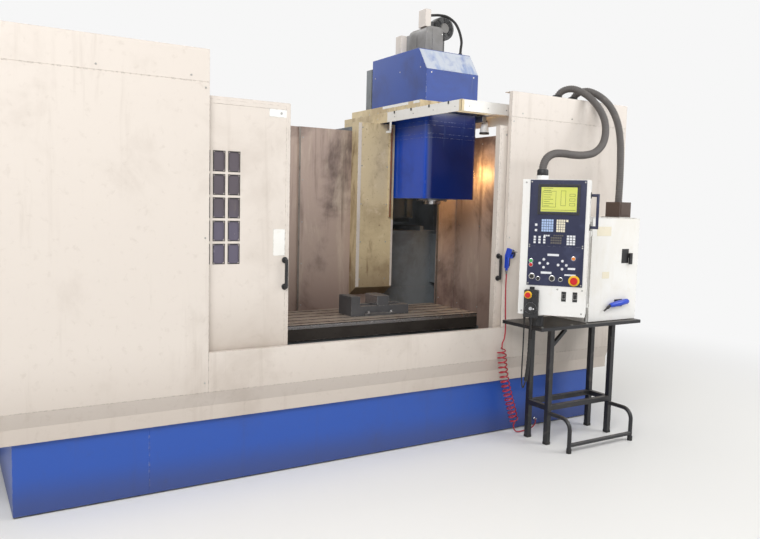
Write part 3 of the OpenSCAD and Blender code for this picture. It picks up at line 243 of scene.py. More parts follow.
def rings_along(path, radii, sides):
    """Rings of points along a path, turned as little as the path allows."""
    path = [Vector(p) for p in path]
    last = len(path) - 1
    heading = (path[1] - path[0]).normalized()
    side = heading.orthogonal().normalized()
    rings = []
    for i, point in enumerate(path):
        ahead = (path[min(i + 1, last)] - path[max(i - 1, 0)]).normalized()
        side = (side - ahead * side.dot(ahead)).normalized()
        other = ahead.cross(side)
        radius = radii[i] if isinstance(radii, (list, tuple)) else radii
        rings.append([point + (side * math.cos(t) + other * math.sin(t)) * radius
                      for t in (2 * math.pi * k / sides for k in range(sides))])
    return rings


def smooth_path(points, step):
    """A smooth line through the points, with a point about every step."""
    points = [Vector(p) for p in points]
    first, last = 2 * points[0] - points[1], 2 * points[-1] - points[-2]
    padded = [first] + points + [last]
    line = []
    for i in range(1, len(padded) - 2):
        p0, p1, p2, p3 = padded[i - 1:i + 3]
        k0, k1, k2 = (max((b - a).length, 1e-6) ** 0.5 for a, b in ((p0, p1), (p1, p2), (p2, p3)))
        m1 = ((p1 - p0) / k0 - (p2 - p0) / (k0 + k1) + (p2 - p1) / k1) * k1
        m2 = ((p2 - p1) / k1 - (p3 - p1) / (k1 + k2) + (p3 - p2) / k2) * k1
        count = max(2, round((p2 - p1).length / step))
        for j in range(count):
            t = j / count
            line.append((2 * t**3 - 3 * t**2 + 1) * p1 + (t**3 - 2 * t**2 + t) * m1
                        + (-2 * t**3 + 3 * t**2) * p2 + (t**3 - t**2) * m2)
    return line + [points[-1]]


# Shader groups

def new_group(name, inputs, outputs):
    """An empty shader node group with named inputs and outputs, and its two end nodes."""
    tree = bpy.data.node_groups.new(name, "ShaderNodeTree")
    kinds = {"value": "NodeSocketFloat", "vector": "NodeSocketVector"}
    for label, kind, default in inputs:
        socket = tree.interface.new_socket(name=label, in_out="INPUT", socket_type=kinds[kind])
        if default is not None:
            socket.default_value = default
    for label, kind in outputs:
        tree.interface.new_socket(name=label, in_out="OUTPUT", socket_type=kinds[kind])
    return tree, tree.nodes.new("NodeGroupInput").outputs, tree.nodes.new("NodeGroupOutput").inputs


def connect(tree, kind, settings=None, **inputs):
    """A node with its settings, and its inputs set or linked by label, or by i and their number."""
    made = tree.nodes.new(kind)
    for label, value in (settings or {}).items():
        setattr(made, label, value)
    for label, value in inputs.items():
        socket = made.inputs[int(label[1:])] if label[1:].isdigit() else made.inputs[label.replace("_", " ")]
        if isinstance(value, bpy.types.NodeSocket):
            tree.links.new(value, socket)
        else:
            socket.default_value = value
    return made


def result(tree, operation, first, second):
    """What a calculation with two values gives."""
    return connect(tree, "ShaderNodeMath", {"operation": operation}, i0=first, i1=second).outputs[0]


def vector_node(tree, operation, first, second):
    """A calculation with two vectors."""
    return connect(tree, "ShaderNodeVectorMath", {"operation": operation}, i0=first, i1=second)


def soft_step(tree, value, low, high):
    """A smooth rise from 0 to 1 as a value goes from low to high."""
    return connect(tree, "ShaderNodeMapRange", {"interpolation_type": "SMOOTHSTEP"},
                   Value=value, From_Min=low, From_Max=high).outputs["Result"]


def ramp(tree, value, low, high, share):
    """A soft step from low to high, times a share."""
    return result(tree, "MULTIPLY", soft_step(tree, value, low, high), share)


def build_blotches():
    """Cloudy patches, such as stains and faded paint."""
    tree, given, out = new_group(
        "Blotches",
        [("Vector", "vector", None), ("Scale", "value", 3.0), ("Stretch", "vector", (1, 1, 1)),
         ("Low", "value", 0.5), ("High", "value", 0.65), ("Amount", "value", 1.0)],
        [("Mask", "value")])
    place = vector_node(tree, "MULTIPLY", given["Vector"], given["Stretch"])
    cloud = connect(tree, "ShaderNodeTexNoise", Vector=place.outputs[0], Scale=given["Scale"], Detail=6.0,
                    Roughness=0.62, Distortion=0.35)
    mask = ramp(tree, cloud.outputs["Fac"], given["Low"], given["High"], given["Amount"])
    tree.links.new(mask, out["Mask"])


def build_edge_wear():
    """Bare, rubbed edges: where a rounded normal leaves the face, broken up by noise."""
    tree, given, out = new_group(
        "Edge Wear",
        [("Vector", "vector", None), ("Width", "value", 0.004), ("Scale", "value", 40.0),
         ("Amount", "value", 1.0)],
        [("Mask", "value")])
    rounded = connect(tree, "ShaderNodeBevel", {"samples": 4}, Radius=given["Width"])
    flat = connect(tree, "ShaderNodeNewGeometry")
    facing = vector_node(tree, "DOT_PRODUCT", rounded.outputs[0], flat.outputs["Normal"]).outputs["Value"]
    edge = connect(tree, "ShaderNodeMapRange", Value=facing, From_Min=0.99, From_Max=0.86)
    broken = connect(tree, "ShaderNodeTexNoise", Vector=given["Vector"], Scale=given["Scale"], Detail=4.0)
    bits = ramp(tree, broken.outputs["Fac"], 0.46, 0.58, given["Amount"])
    tree.links.new(result(tree, "MULTIPLY", edge.outputs[0], bits), out["Mask"])


def build_grain():
    """Fine unevenness of paint, castings and moulded parts, as a height."""
    tree, given, out = new_group(
        "Grain", [("Vector", "vector", None), ("Scale", "value", 300.0), ("Stretch", "vector", (1, 1, 1))],
        [("Height", "value")])
    place = vector_node(tree, "MULTIPLY", given["Vector"], given["Stretch"])
    fine = connect(tree, "ShaderNodeTexNoise", Vector=place.outputs[0], Scale=given["Scale"], Detail=3.0)
    tree.links.new(fine.outputs["Fac"], out["Height"])


def build_along():
    """A soft step along a direction, for soil near the floor or a rubbed strip."""
    tree, given, out = new_group(
        "Along",
        [("Vector", "vector", None), ("Direction", "vector", (0, 0, 1)), ("Low", "value", 0.0),
         ("High", "value", 1.0), ("Amount", "value", 1.0)],
        [("Mask", "value")])
    height = vector_node(tree, "DOT_PRODUCT", given["Vector"], given["Direction"]).outputs["Value"]
    tree.links.new(ramp(tree, height, given["Low"], given["High"], given["Amount"]), out["Mask"])


def build_dust():
    """Dust and dried coolant that settle on faces that look up."""
    tree, given, out = new_group(
        "Dust", [("Vector", "vector", None), ("Scale", "value", 9.0), ("Amount", "value", 0.5)],
        [("Mask", "value")])
    flat = connect(tree, "ShaderNodeNewGeometry")
    upward = connect(tree, "ShaderNodeSeparateXYZ", Vector=flat.outputs["Normal"])
    top = ramp(tree, upward.outputs["Z"], 0.5, 0.95, given["Amount"])
    cloud = connect(tree, "ShaderNodeTexNoise", Vector=given["Vector"], Scale=given["Scale"], Detail=5.0)
    patch = ramp(tree, cloud.outputs["Fac"], 0.3, 0.7, 1.0)
    tree.links.new(result(tree, "MULTIPLY", top, patch), out["Mask"])


class Finish:
    """One material: a surface whose colour, roughness and height are built up in layers."""

    def __init__(self, name, color, roughness, **plain):
        self.material = bpy.data.materials.new(name)
        self.material.use_nodes = True
        self.tree = self.material.node_tree
        self.shader = self.tree.nodes["Principled BSDF"]
        self.base, self.roughness = color, roughness
        self.shader.inputs["Base Color"].default_value = color
        self.shader.inputs["Roughness"].default_value = roughness
        for label, value in plain.items():
            self.shader.inputs[label.replace("_", " ")].default_value = value
        self.place = connect(self.tree, "ShaderNodeTexCoord").outputs["Object"]
        self.height = None

    def mask(self, group, **inputs):
        """A mask or height from one of the shader groups."""
        node = connect(self.tree, "ShaderNodeGroup", {"node_tree": bpy.data.node_groups[group]},
                       Vector=self.place, **inputs)
        return node.outputs[0]

    def layer(self, mask, color=None, roughness=None):
        """Lays a colour and a roughness over what is there, where the mask is white."""
        if color is not None:
            under = self.shader.inputs["Base Color"]
            mix = connect(self.tree, "ShaderNodeMix", {"data_type": "RGBA"}, i0=mask, i7=color)
            self._stack(mix.inputs[6], mix.outputs[2], under, self.base)
        if roughness is not None:
            under = self.shader.inputs["Roughness"]
            mix = connect(self.tree, "ShaderNodeMix", {"data_type": "FLOAT"}, i0=mask, i3=roughness)
            self._stack(mix.inputs[2], mix.outputs[0], under, self.roughness)
        return self

    def _stack(self, below, above, target, start):
        if target.links:
            self.tree.links.new(target.links[0].from_socket, below)
        else:
            below.default_value = start
        self.tree.links.new(above, target)

    def bump(self, height, strength, distance=0.001):
        """Adds a height to the surface's normal."""
        bump = connect(self.tree, "ShaderNodeBump", Height=height, Strength=strength, Distance=distance)
        if self.height:
            self.tree.links.new(self.height, bump.inputs["Normal"])
        self.height = bump.outputs["Normal"]
        self.tree.links.new(self.height, self.shader.inputs["Normal"])
        return self

    def soil(self, color, scale, low, high, amount, stretch=(1, 1, 1), roughness=None):
        """Patches of another colour."""
        mask = self.mask("Blotches", Scale=scale, Low=low, High=high, Amount=amount, Stretch=stretch)
        return self.layer(mask, color, roughness)

    def worn(self, color, width=0.004, scale=40.0, amount=1.0, roughness=None):
        """Rubbed edges."""
        return self.layer(self.mask("Edge Wear", Width=width, Scale=scale, Amount=amount), color, roughness)

    def dusty(self, color, amount, scale=9.0):
        """Dust on top."""
        return self.layer(self.mask("Dust", Scale=scale, Amount=amount), color, 0.8)

    def facing(self, axis, low, high, share):
        """A mask of the faces that look along an axis of the object."""
        normal = connect(self.tree, "ShaderNodeTexCoord").outputs["Normal"]
        split = connect(self.tree, "ShaderNodeSeparateXYZ", i0=normal)
        return ramp(self.tree, split.outputs[axis], low, high, share)

    def grained(self, scale, strength, stretch=(1, 1, 1), distance=0.001):
        """Fine bump."""
        return self.bump(self.mask("Grain", Scale=scale, Stretch=stretch), strength, distance)


def sheet_paint(name, color, grime, rust, roughness=0.42, dirt=0.35, low_soil=None):
    """Stoved paint on sheet metal with oily stains, runs, rubbed edges and dust."""
    made = Finish(name, color, roughness, Coat_Weight=0.12, Coat_Roughness=0.25)
    made.soil(grime, 2.2, 0.50, 0.74, dirt, roughness=0.55)
    made.soil(grime, 26.0, 0.56, 0.72, dirt * 0.55)
    made.soil(grime, 15.0, 0.55, 0.75, dirt * 0.7, stretch=(1, 1, 0.07))
    if low_soil:
        low, high, share = low_soil
        made.layer(made.mask("Along", Low=high, High=low, Amount=share), grime, 0.6)
    made.worn(rust, 0.004, 55.0, 0.75)
    made.dusty(grime, dirt * 0.8)
    return made.grained(420.0, 0.10).material


def casting(name, color, grime, roughness=0.5):
    """Painted casting with an uneven skin."""
    made = Finish(name, color, roughness)
    made.soil(grime, 3.5, 0.45, 0.7, 0.6, roughness=0.7)
    made.worn(tone(150, 150, 148), 0.005, 45.0, 0.8, 0.35)
    made.dusty(tone(120, 105, 90), 0.6)
    return made.grained(120.0, 0.35, distance=0.002).material


def bare_metal(name, color, roughness, stretch=(1, 1, 1), scale=90.0, stain=None, metallic=0.9):
    """Ground, turned or rolled steel with its working lines and stains."""
    made = Finish(name, color, roughness, Metallic=metallic)
    made.soil(stain or tone(95, 82, 70), 7.0, 0.48, 0.72, 0.55, roughness=min(roughness + 0.25, 0.8))
    made.soil(tone(70, 60, 55), 60.0, 0.58, 0.7, 0.5)
    made.worn(tone(205, 205, 205), 0.002, 60.0, 0.8, 0.2)
    return made.grained(scale, 0.25, stretch, 0.0006).material


def moulded(name, color, roughness=0.45, wear=None, speck=500.0):
    """Moulded plastic or rubber with a fine texture and a little dust."""
    made = Finish(name, color, roughness)
    made.soil(wear or tone(120, 115, 110), 18.0, 0.55, 0.78, 0.3, roughness=0.65)
    made.worn(wear or tone(140, 135, 130), 0.0012, 120.0, 0.6)
    made.dusty(tone(150, 140, 125), 0.25, 30.0)
    return made.grained(speck, 0.15, distance=0.0004).material


# Settings that a user would change

def paint(name, description, red, green, blue):
    """A colour setting."""
    return FloatVectorProperty(name=name, description=description, subtype="COLOR", size=4, min=0.0, max=1.0,
                               default=tone(red, green, blue))


def size(name, description, value, low=0.0, high=1.0):
    """A length setting."""
    return FloatProperty(name=name, description=description, subtype="DISTANCE", unit="LENGTH",
                         min=low, max=high, default=value)


class PaintSettings(bpy.types.PropertyGroup):
    """Colours of the paint, the dirt and the hoses."""
    cream: paint("Cream", "Stoved paint of the housings and doors", 214, 205, 196)
    base_blue: paint("Base blue", "Paint of the skirt and the coolant tank", 30, 76, 164)
    head_blue: paint("Head blue", "Paint of the head's covers", 2, 60, 150)
    interior: paint("Interior", "Soiled plates inside the work space", 178, 158, 146)
    tan: paint("Tan", "Soiled panel beside the head", 210, 192, 154)
    grime: paint("Grime", "Oil and dried coolant", 128, 108, 88)
    navy: paint("Navy", "Panel of the pendant", 24, 29, 62)
    hose: paint("Hose", "Coiled air hose", 168, 30, 48)
    dirt: FloatProperty(name="Dirt", description="Share of the surface that is stained", subtype="FACTOR",
                        min=0.0, max=1.0, default=0.21)


class HoseSettings(bpy.types.PropertyGroup):
    """Sizes of the hoses, conduits and cables."""
    conduit: size("Conduit", "Outer diameter of the ribbed conduits", 0.045)
    rib: size("Rib", "Distance between two ribs of a conduit", 0.011)
    hose: size("Hose", "Diameter of the air hose", 0.008)
    coil: size("Coil", "Outer diameter of the hose's coil", 0.058)
    turns: FloatProperty(name="Turns", description="Turns of the hose's coil",
                         min=4.0, max=30.0, default=17.0)
    cable: size("Cable", "Diameter of the pulse box's cable", 0.008)


class StudioSettings(bpy.types.PropertyGroup):
    """Floor and light."""
    floor: paint("Floor", "Plain studio floor", 232, 231, 228)
    sky: FloatProperty(name="Sky", description="Strength of the even light from all round", min=0.0, max=3.0,
                       default=0.46)
    key: FloatProperty(name="Key", description="Power of the large lamp", subtype="POWER", unit="POWER",
                       min=0.0, max=5000.0, default=250.0)


class MACHINE_OT_finishes(bpy.types.Operator):
    """Builds the shader groups and the finishes"""
    bl_idname = "machine.finishes"
    bl_label = "Finishes"

    def sheets(self, colors):
        cream, grime, dirt = tuple(colors.cream), tuple(colors.grime), colors.dirt
        bare = tone(120, 112, 104)
        sheet_paint("Cream paint", cream, grime, bare, dirt=dirt, low_soil=(0.33, 0.75, 0.30))
        sheet_paint("Door paint", cream, grime, bare, dirt=dirt * 0.8, low_soil=(0.60, 1.00, 0.35))
        sheet_paint("Cabinet paint", tone(222, 214, 196), grime, bare, dirt=dirt * 0.8)
        sheet_paint("White paint", tone(232, 231, 228), tone(196, 182, 150), bare, dirt=dirt * 0.9)
        sheet_paint("Roof paint", tone(233, 231, 226), tone(176, 160, 130), tone(110, 96, 84), dirt=dirt)
        sheet_paint("Base blue", tuple(colors.base_blue), tone(60, 62, 84), tone(150, 150, 156), 0.38,
                    dirt * 0.9, (0.02, 0.20, 0.55))

    def head_blue(self, color):
        head = Finish("Head blue", color, 0.42)
        head.soil(tone(20, 38, 92), 3.0, 0.44, 0.72, 0.55, roughness=0.5)
        head.soil(tone(120, 140, 170), 20.0, 0.62, 0.76, 0.35, stretch=(1, 1, 0.08))
        head.worn(tone(176, 180, 186), 0.005, 50.0, 0.9, 0.5)
        head.dusty(tone(100, 116, 146), 0.3)
        head.grained(380.0, 0.10)

    def lower_blue(self):
        low = Finish("Lower blue", tone(20, 78, 196), 0.28, Coat_Weight=0.35, Coat_Roughness=0.12)
        low.soil(tone(14, 40, 110), 3.2, 0.46, 0.70, 0.35, roughness=0.45)
        # Painted shade: faces that look to the front are made dark navy
        low.layer(low.facing("Y", -0.3, -0.9, 0.85), tone(14, 26, 76), 0.22)
        low.soil(tone(92, 120, 176), 22.0, 0.63, 0.76, 0.35, stretch=(1, 1, 0.08))
        low.worn(tone(150, 166, 196), 0.004, 50.0, 0.9, 0.5)
        low.dusty(tone(110, 120, 144), 0.4)
        low.grained(380.0, 0.10)

    def worn_blue(self):
        slope = Finish("Worn blue", tone(196, 202, 212), 0.5)
        slope.soil(tone(120, 146, 196), 9.0, 0.50, 0.66, 0.7, stretch=(1, 0.3, 0.3))
        slope.soil(tone(70, 104, 176), 3.0, 0.56, 0.70, 0.7)
        slope.grained(300.0, 0.12)

    def soiled_plates(self, color):
        plates = Finish("Soiled plates", color, 0.5)
        plates.soil(tone(62, 46, 44), 1.5, 0.46, 0.64, 0.8, roughness=0.7)
        plates.soil(tone(206, 190, 172), 9.0, 0.50, 0.68, 0.5, stretch=(1, 1, 0.25))
        plates.soil(tone(84, 64, 56), 18.0, 0.56, 0.74, 0.6, stretch=(1, 1, 0.05))
        plates.soil(tone(186, 170, 150), 45.0, 0.62, 0.74, 0.4)
        plates.layer(plates.mask("Along", Low=1.05, High=0.62, Amount=0.45), tone(122, 92, 84), 0.75)
        plates.worn(tone(190, 186, 180), 0.003, 60.0, 0.9, 0.35)
        plates.grained(260.0, 0.12)

    def tan_panel(self, color):
        tan = Finish("Tan panel", color, 0.5)
        tan.soil(tone(158, 136, 104), 4.0, 0.45, 0.68, 0.6, roughness=0.65)
        tan.soil(tone(120, 88, 58), 12.0, 0.56, 0.72, 0.7, stretch=(1, 1, 0.2))
        tan.soil(tone(226, 210, 178), 7.0, 0.56, 0.70, 0.6)
        tan.soil(tone(108, 76, 52), 55.0, 0.60, 0.70, 0.55)
        tan.layer(tan.mask("Along", Low=1.10, High=0.78, Amount=0.6), tone(104, 78, 56), 0.7)
        tan.worn(tone(230, 220, 200), 0.004, 50.0, 0.8)
        tan.grained(300.0, 0.12)

    def table_iron(self):
        table = Finish("Table iron", tone(186, 172, 158), 0.40, Metallic=0.55)
        table.soil(tone(96, 74, 64), 5.0, 0.46, 0.68, 0.6, roughness=0.6)
        table.soil(tone(60, 50, 46), 40.0, 0.56, 0.70, 0.5)
        # Painted shade: faces that look to the front are made nearly black
        table.layer(table.facing("Y", -0.3, -0.9, 0.92), tone(30, 27, 26), 0.7)
        table.worn(tone(214, 210, 204), 0.003, 60.0, 0.8, 0.25)
        table.grained(160.0, 0.25, (1, 0.03, 1), 0.0006)

    def metals(self):
        for name, color, grime, roughness in (
                ("Cast grey", (112, 118, 122), (70, 68, 66), 0.5),
                ("Motor grey", (134, 132, 130), (96, 92, 86), 0.5),
                ("Dark iron", (78, 78, 80), (48, 44, 42), 0.55),
                ("Rusty steel", (132, 84, 54), (84, 50, 34), 0.65),
                ("Pale blue", (150, 168, 204), (96, 118, 168), 0.4)):
            casting(name, tone(*color), tone(*grime), roughness)
        bare_metal("Rail steel", tone(190, 192, 194), 0.25, (0.03, 1, 1), 220.0)
        bare_metal("Turned steel", tone(188, 188, 190), 0.24, (1, 1, 6), 180.0)
        bare_metal("Trough steel", tone(132, 124, 116), 0.5, stain=tone(80, 62, 48), metallic=0.7)
        bare_metal("Zinc", tone(176, 176, 172), 0.38, scale=240.0)

    def plastics(self, hose):
        moulded("Hose red", hose, 0.35, tone(196, 90, 92))
        moulded("Black plastic", tone(26, 26, 28), 0.5)
        moulded("Black rubber", tone(30, 29, 29), 0.7)
        for name, color, roughness, wear in (
                ("Black paint", (30, 30, 33), 0.38, (120, 112, 104)),
                ("Conduit grey", (92, 88, 86), 0.62, (140, 132, 124)),
                ("Gun blue", (14, 62, 186), 0.3, (80, 120, 200)),
                ("Stop red", (196, 20, 22), 0.28, (220, 110, 100)),
                ("Warning yellow", (236, 190, 20), 0.4, (190, 150, 60)),
                ("Key blue", (168, 190, 226), 0.5, (120, 130, 150)),
                ("Key cream", (226, 218, 196), 0.5, (160, 150, 130)),
                ("Key white", (222, 224, 228), 0.5, (160, 160, 160)),
                ("Key green", (54, 168, 84), 0.45, (120, 170, 130)),
                ("Key orange", (226, 128, 44), 0.45, (200, 150, 110)),
                ("Connector brown", (74, 58, 50), 0.5, (120, 100, 86))):
            moulded(name, tone(*color), roughness, tone(*wear))

    def navy_panel(self, color):
        navy = Finish("Navy panel", color, 0.42)
        navy.soil(tone(70, 78, 112), 9.0, 0.52, 0.74, 0.35, roughness=0.55)
        navy.worn(tone(130, 134, 150), 0.002, 80.0, 0.6)
        navy.dusty(tone(140, 136, 130), 0.3, 30.0)
        navy.grained(600.0, 0.12, distance=0.0004)

    def pane(self):
        pane = Finish("Pane", tone(104, 98, 116), 0.24, Transmission_Weight=0.25, IOR=1.49)
        pane.soil(tone(150, 146, 160), 8.0, 0.52, 0.76, 0.4, roughness=0.45)
        pane.layer(pane.mask("Along", Low=1.25, High=1.36, Amount=0.6), tone(92, 82, 80), 0.4)
        pane.soil(tone(120, 112, 108), 30.0, 0.60, 0.72, 0.5, stretch=(1, 1, 0.3), roughness=0.5)

    def screen(self):
        lit = Finish("Screen light", tone(196, 200, 104), 0.3, Emission_Strength=0.16)
        lit.shader.inputs["Emission Color"].default_value = tone(214, 214, 80)
        lit.soil(tone(188, 200, 70), 14.0, 0.42, 0.70, 0.6)
        ink = Finish("Screen ink", tone(70, 88, 30), 0.35)
        ink.soil(tone(110, 124, 44), 60.0, 0.45, 0.65, 0.5)

    def lamp_lens(self):
        lens = Finish("Lamp lens", tone(250, 236, 196), 0.3, Emission_Strength=1.2)
        lens.shader.inputs["Emission Color"].default_value = tone(255, 214, 130)
        lens.soil(tone(226, 206, 160), 40.0, 0.45, 0.65, 0.5)

    def execute(self, context):
        for build in (build_blotches, build_edge_wear, build_grain, build_along, build_dust):
            build()
        colors = context.scene.machine_paint
        self.sheets(colors)
        self.head_blue(tuple(colors.head_blue))
        self.lower_blue()
        self.worn_blue()
        self.soiled_plates(tuple(colors.interior))
        self.tan_panel(tuple(colors.tan))
        self.table_iron()
        self.metals()
        self.plastics(tuple(colors.hose))
        self.navy_panel(tuple(colors.navy))
        self.pane()
        self.screen()
        self.lamp_lens()
        return {"FINISHED"}


# What the nodes wear: each finish, with the rounding of the edges in metres and the nodes that have it
DRESS = {
    "Cast grey": {0.004: "bed saddle column ram spindle_head"},
    "Dark iron": {0.001: "levelling_pads tool_drum", 0.0015: "vise_base vise_jaw"},
    "Motor grey": {0.003: "spindle_motor"},
    "Rail steel": {0.001: "x_rails"},
    "Turned steel": {0.0008: "vise_screw spindle"},
    "Trough steel": {0.0: "chip_troughs"},
    "Table iron": {0.0012: "work_table"},
    "Base blue": {0.0015: "base_skirt", 0.002: "coolant_tank"},
    "Cream paint": {0.0015: "lower_fascia left_housing right_housing", 0.002: "front_apron"},
    "Door paint": {0.0012: "left_door right_door"},
    "Roof paint": {0.0012: "canopy"},
    "Tan panel": {0.0012: "coaming", 0.0015: "magazine_cover"},
    "Soiled plates": {0.0: "splash_walls saddle_plates left_plate_outer left_plate_inner"
                           " right_plate_inner right_plate_outer"},
    "Lower blue": {0.0: "head_cover"},
    "Head blue": {0.002: "upper_cover"},
    "White paint": {0.001: "work_lamp", 0.0015: "nc_cabinet", 0.002: "nc_door", 0.003: "pendant_housing"},
    "Cabinet paint": {0.002: "electrical_cabinet cabinet_door"},
    "Black paint": {0.0015: "stand"},
    "Black plastic": {0.0: "left_door_handle right_door_handle", 0.0005: "rocker_left rocker_right",
                      0.0008: "pulse_wheel", 0.001: "nc_latch", 0.003: "pulse_box"},
    "Pane": {0.0: "left_door_glass right_door_glass"},
    "Navy panel": {0.0008: "pendant_panel"},
    "Key cream": {0.0006: "pendant_keypad"},
    "Stop red": {0.0015: "pulse_stop", 0.002: "pendant_stop"},
    "Gun blue": {0.003: "air_gun"},
}


WELD_DISTANCE = 1e-5
FLAT_DEGREES = 0.5


def dress(node, finish, rounding):
    """Gives a node its finish and rounds its edges, with its mesh left as it is."""
    made = NODES[node]
    made.data.materials.clear()
    made.data.materials.append(skin(finish))
    if rounding:
        weld = made.modifiers.new("Weld", "WELD")
        weld.merge_threshold = WELD_DISTANCE
        flat = made.modifiers.new("Flat", "DECIMATE")
        flat.decimate_type = "DISSOLVE"
        flat.angle_limit = math.radians(FLAT_DEGREES)
        round_edges(made, rounding)


class MACHINE_OT_dress(bpy.types.Operator):
    """Gives every node of the frame its finish"""
    bl_idname = "machine.dress"
    bl_label = "Frame finishes"

    def execute(self, context):
        for finish, groups in DRESS.items():
            for rounding, nodes in groups.items():
                for node in nodes.split():
                    dress(node, finish, rounding)
        return {"FINISHED"}


# Routes of the hoses and conduits, as X, depth behind the front plane, and Z
PENDANT_ROUTE = [
    (0.919, -0.303, 1.573), (0.919, -0.303, 1.620), (0.944, -0.301, 1.668), (1.000, -0.297, 1.698),
    (1.080, -0.290, 1.706), (1.180, -0.278, 1.704), (1.290, -0.262, 1.710), (1.400, -0.240, 1.735),
    (1.490, -0.215, 1.792), (1.542, -0.186, 1.870), (1.560, -0.150, 1.960), (1.542, -0.100, 2.046),
    (1.504, -0.034, 2.116), (1.462, 0.036, 2.150), (1.430, 0.090, 2.136), (1.420, 0.120, 2.098),
    (1.420, 0.120, 2.075),
]
CABINET_ROUTE = [
    (1.640, -0.230, 1.367), (1.640, -0.230, 1.440), (1.648, -0.225, 1.560), (1.660, -0.212, 1.690),
    (1.672, -0.192, 1.820), (1.674, -0.160, 1.940), (1.660, -0.105, 2.046), (1.632, -0.034, 2.116),
    (1.598, 0.040, 2.150), (1.570, 0.094, 2.134), (1.560, 0.120, 2.098), (1.560, 0.120, 2.075),
]
HOSE_ROUTE = [
    (0.892, -0.063, 1.016), (0.892, -0.063, 0.880), (0.898, -0.063, 0.740), (0.902, -0.063, 0.650),
    (0.894, -0.064, 0.600), (0.880, -0.065, 0.575), (0.880, -0.065, 0.556),
]
COIL_ROUTE = [
    (0.880, -0.065, 0.556), (0.880, -0.065, 0.520), (0.890, -0.066, 0.440), (0.912, -0.066, 0.340),
    (0.946, -0.065, 0.240), (0.980, -0.063, 0.150), (1.000, -0.062, 0.085), (1.000, -0.062, 0.060),
]
FLOOR_ROUTE = [
    (1.000, -0.062, 0.060), (1.000, -0.062, 0.048), (1.005, -0.062, 0.032), (1.016, -0.062, 0.018),
    (1.034, -0.061, 0.010), (1.060, -0.060, 0.008), (1.110, -0.054, 0.008), (1.160, -0.042, 0.009),
    (1.206, -0.026, 0.018), (1.234, -0.008, 0.034), (1.243, 0.006, 0.045), (1.244, 0.013, 0.048),
    (1.244, 0.020, 0.048),
]
MOTOR_ROUTE = [
    (0.964, 0.960, 2.705), (0.990, 0.972, 2.722), (1.036, 0.985, 2.734), (1.080, 0.970, 2.738),
    (1.119, 0.930, 2.725), (1.150, 0.880, 2.680), (1.162, 0.845, 2.625), (1.156, 0.800, 2.535),
    (1.140, 0.785, 2.475), (1.135, 0.782, 2.4302),
]
LAMP_ROUTE = [(1.228, 0.630, 1.975), (1.236, 0.632, 1.970), (1.243, 0.634, 1.978), (1.248, 0.633, 1.990)]
PULSE_ROUTE = [
    (0.815, -0.369, 0.768), (0.815, -0.369, 0.700), (0.814, -0.369, 0.640), (0.812, -0.368, 0.560),
    (0.808, -0.364, 0.470), (0.806, -0.350, 0.400), (0.808, -0.334, 0.376), (0.814, -0.318, 0.400),
    (0.820, -0.308, 0.470), (0.823, -0.307, 0.600), (0.823, -0.307, 0.700), (0.823, -0.307, 0.796),
]


def placed(route):
    """A route's points in the frame."""
    return [at(*point) for point in route]


TURN_POINTS = 16


def coil_round(centre, radius, turns):
    """A helix round a line, which leaves and rejoins the line over its first and last turn."""
    count = int(turns * TURN_POINTS)
    lengths = [0.0]
    for a, b in zip(centre, centre[1:]):
        lengths.append(lengths[-1] + (b - a).length)
    rings = rings_along(centre, 1.0, 4)
    points = []
    for i in range(1, count):
        along = lengths[-1] * i / count
        k = max(j for j in range(len(lengths)) if lengths[j] <= along)
        k = min(k, len(centre) - 2)
        share = (along - lengths[k]) / (lengths[k + 1] - lengths[k])
        middle = centre[k].lerp(centre[k + 1], share)
        side = (rings[k][0] - centre[k]).lerp(rings[k + 1][0] - centre[k + 1], share)
        other = (rings[k][1] - centre[k]).lerp(rings[k + 1][1] - centre[k + 1], share)
        turn = 2 * math.pi * turns * i / count
        ease = min(1.0, i / TURN_POINTS, (count - i) / TURN_POINTS)
        ease = ease * ease * (3 - 2 * ease)
        points.append(middle + (side * math.cos(turn) + other * math.sin(turn)) * radius * ease)
    return points


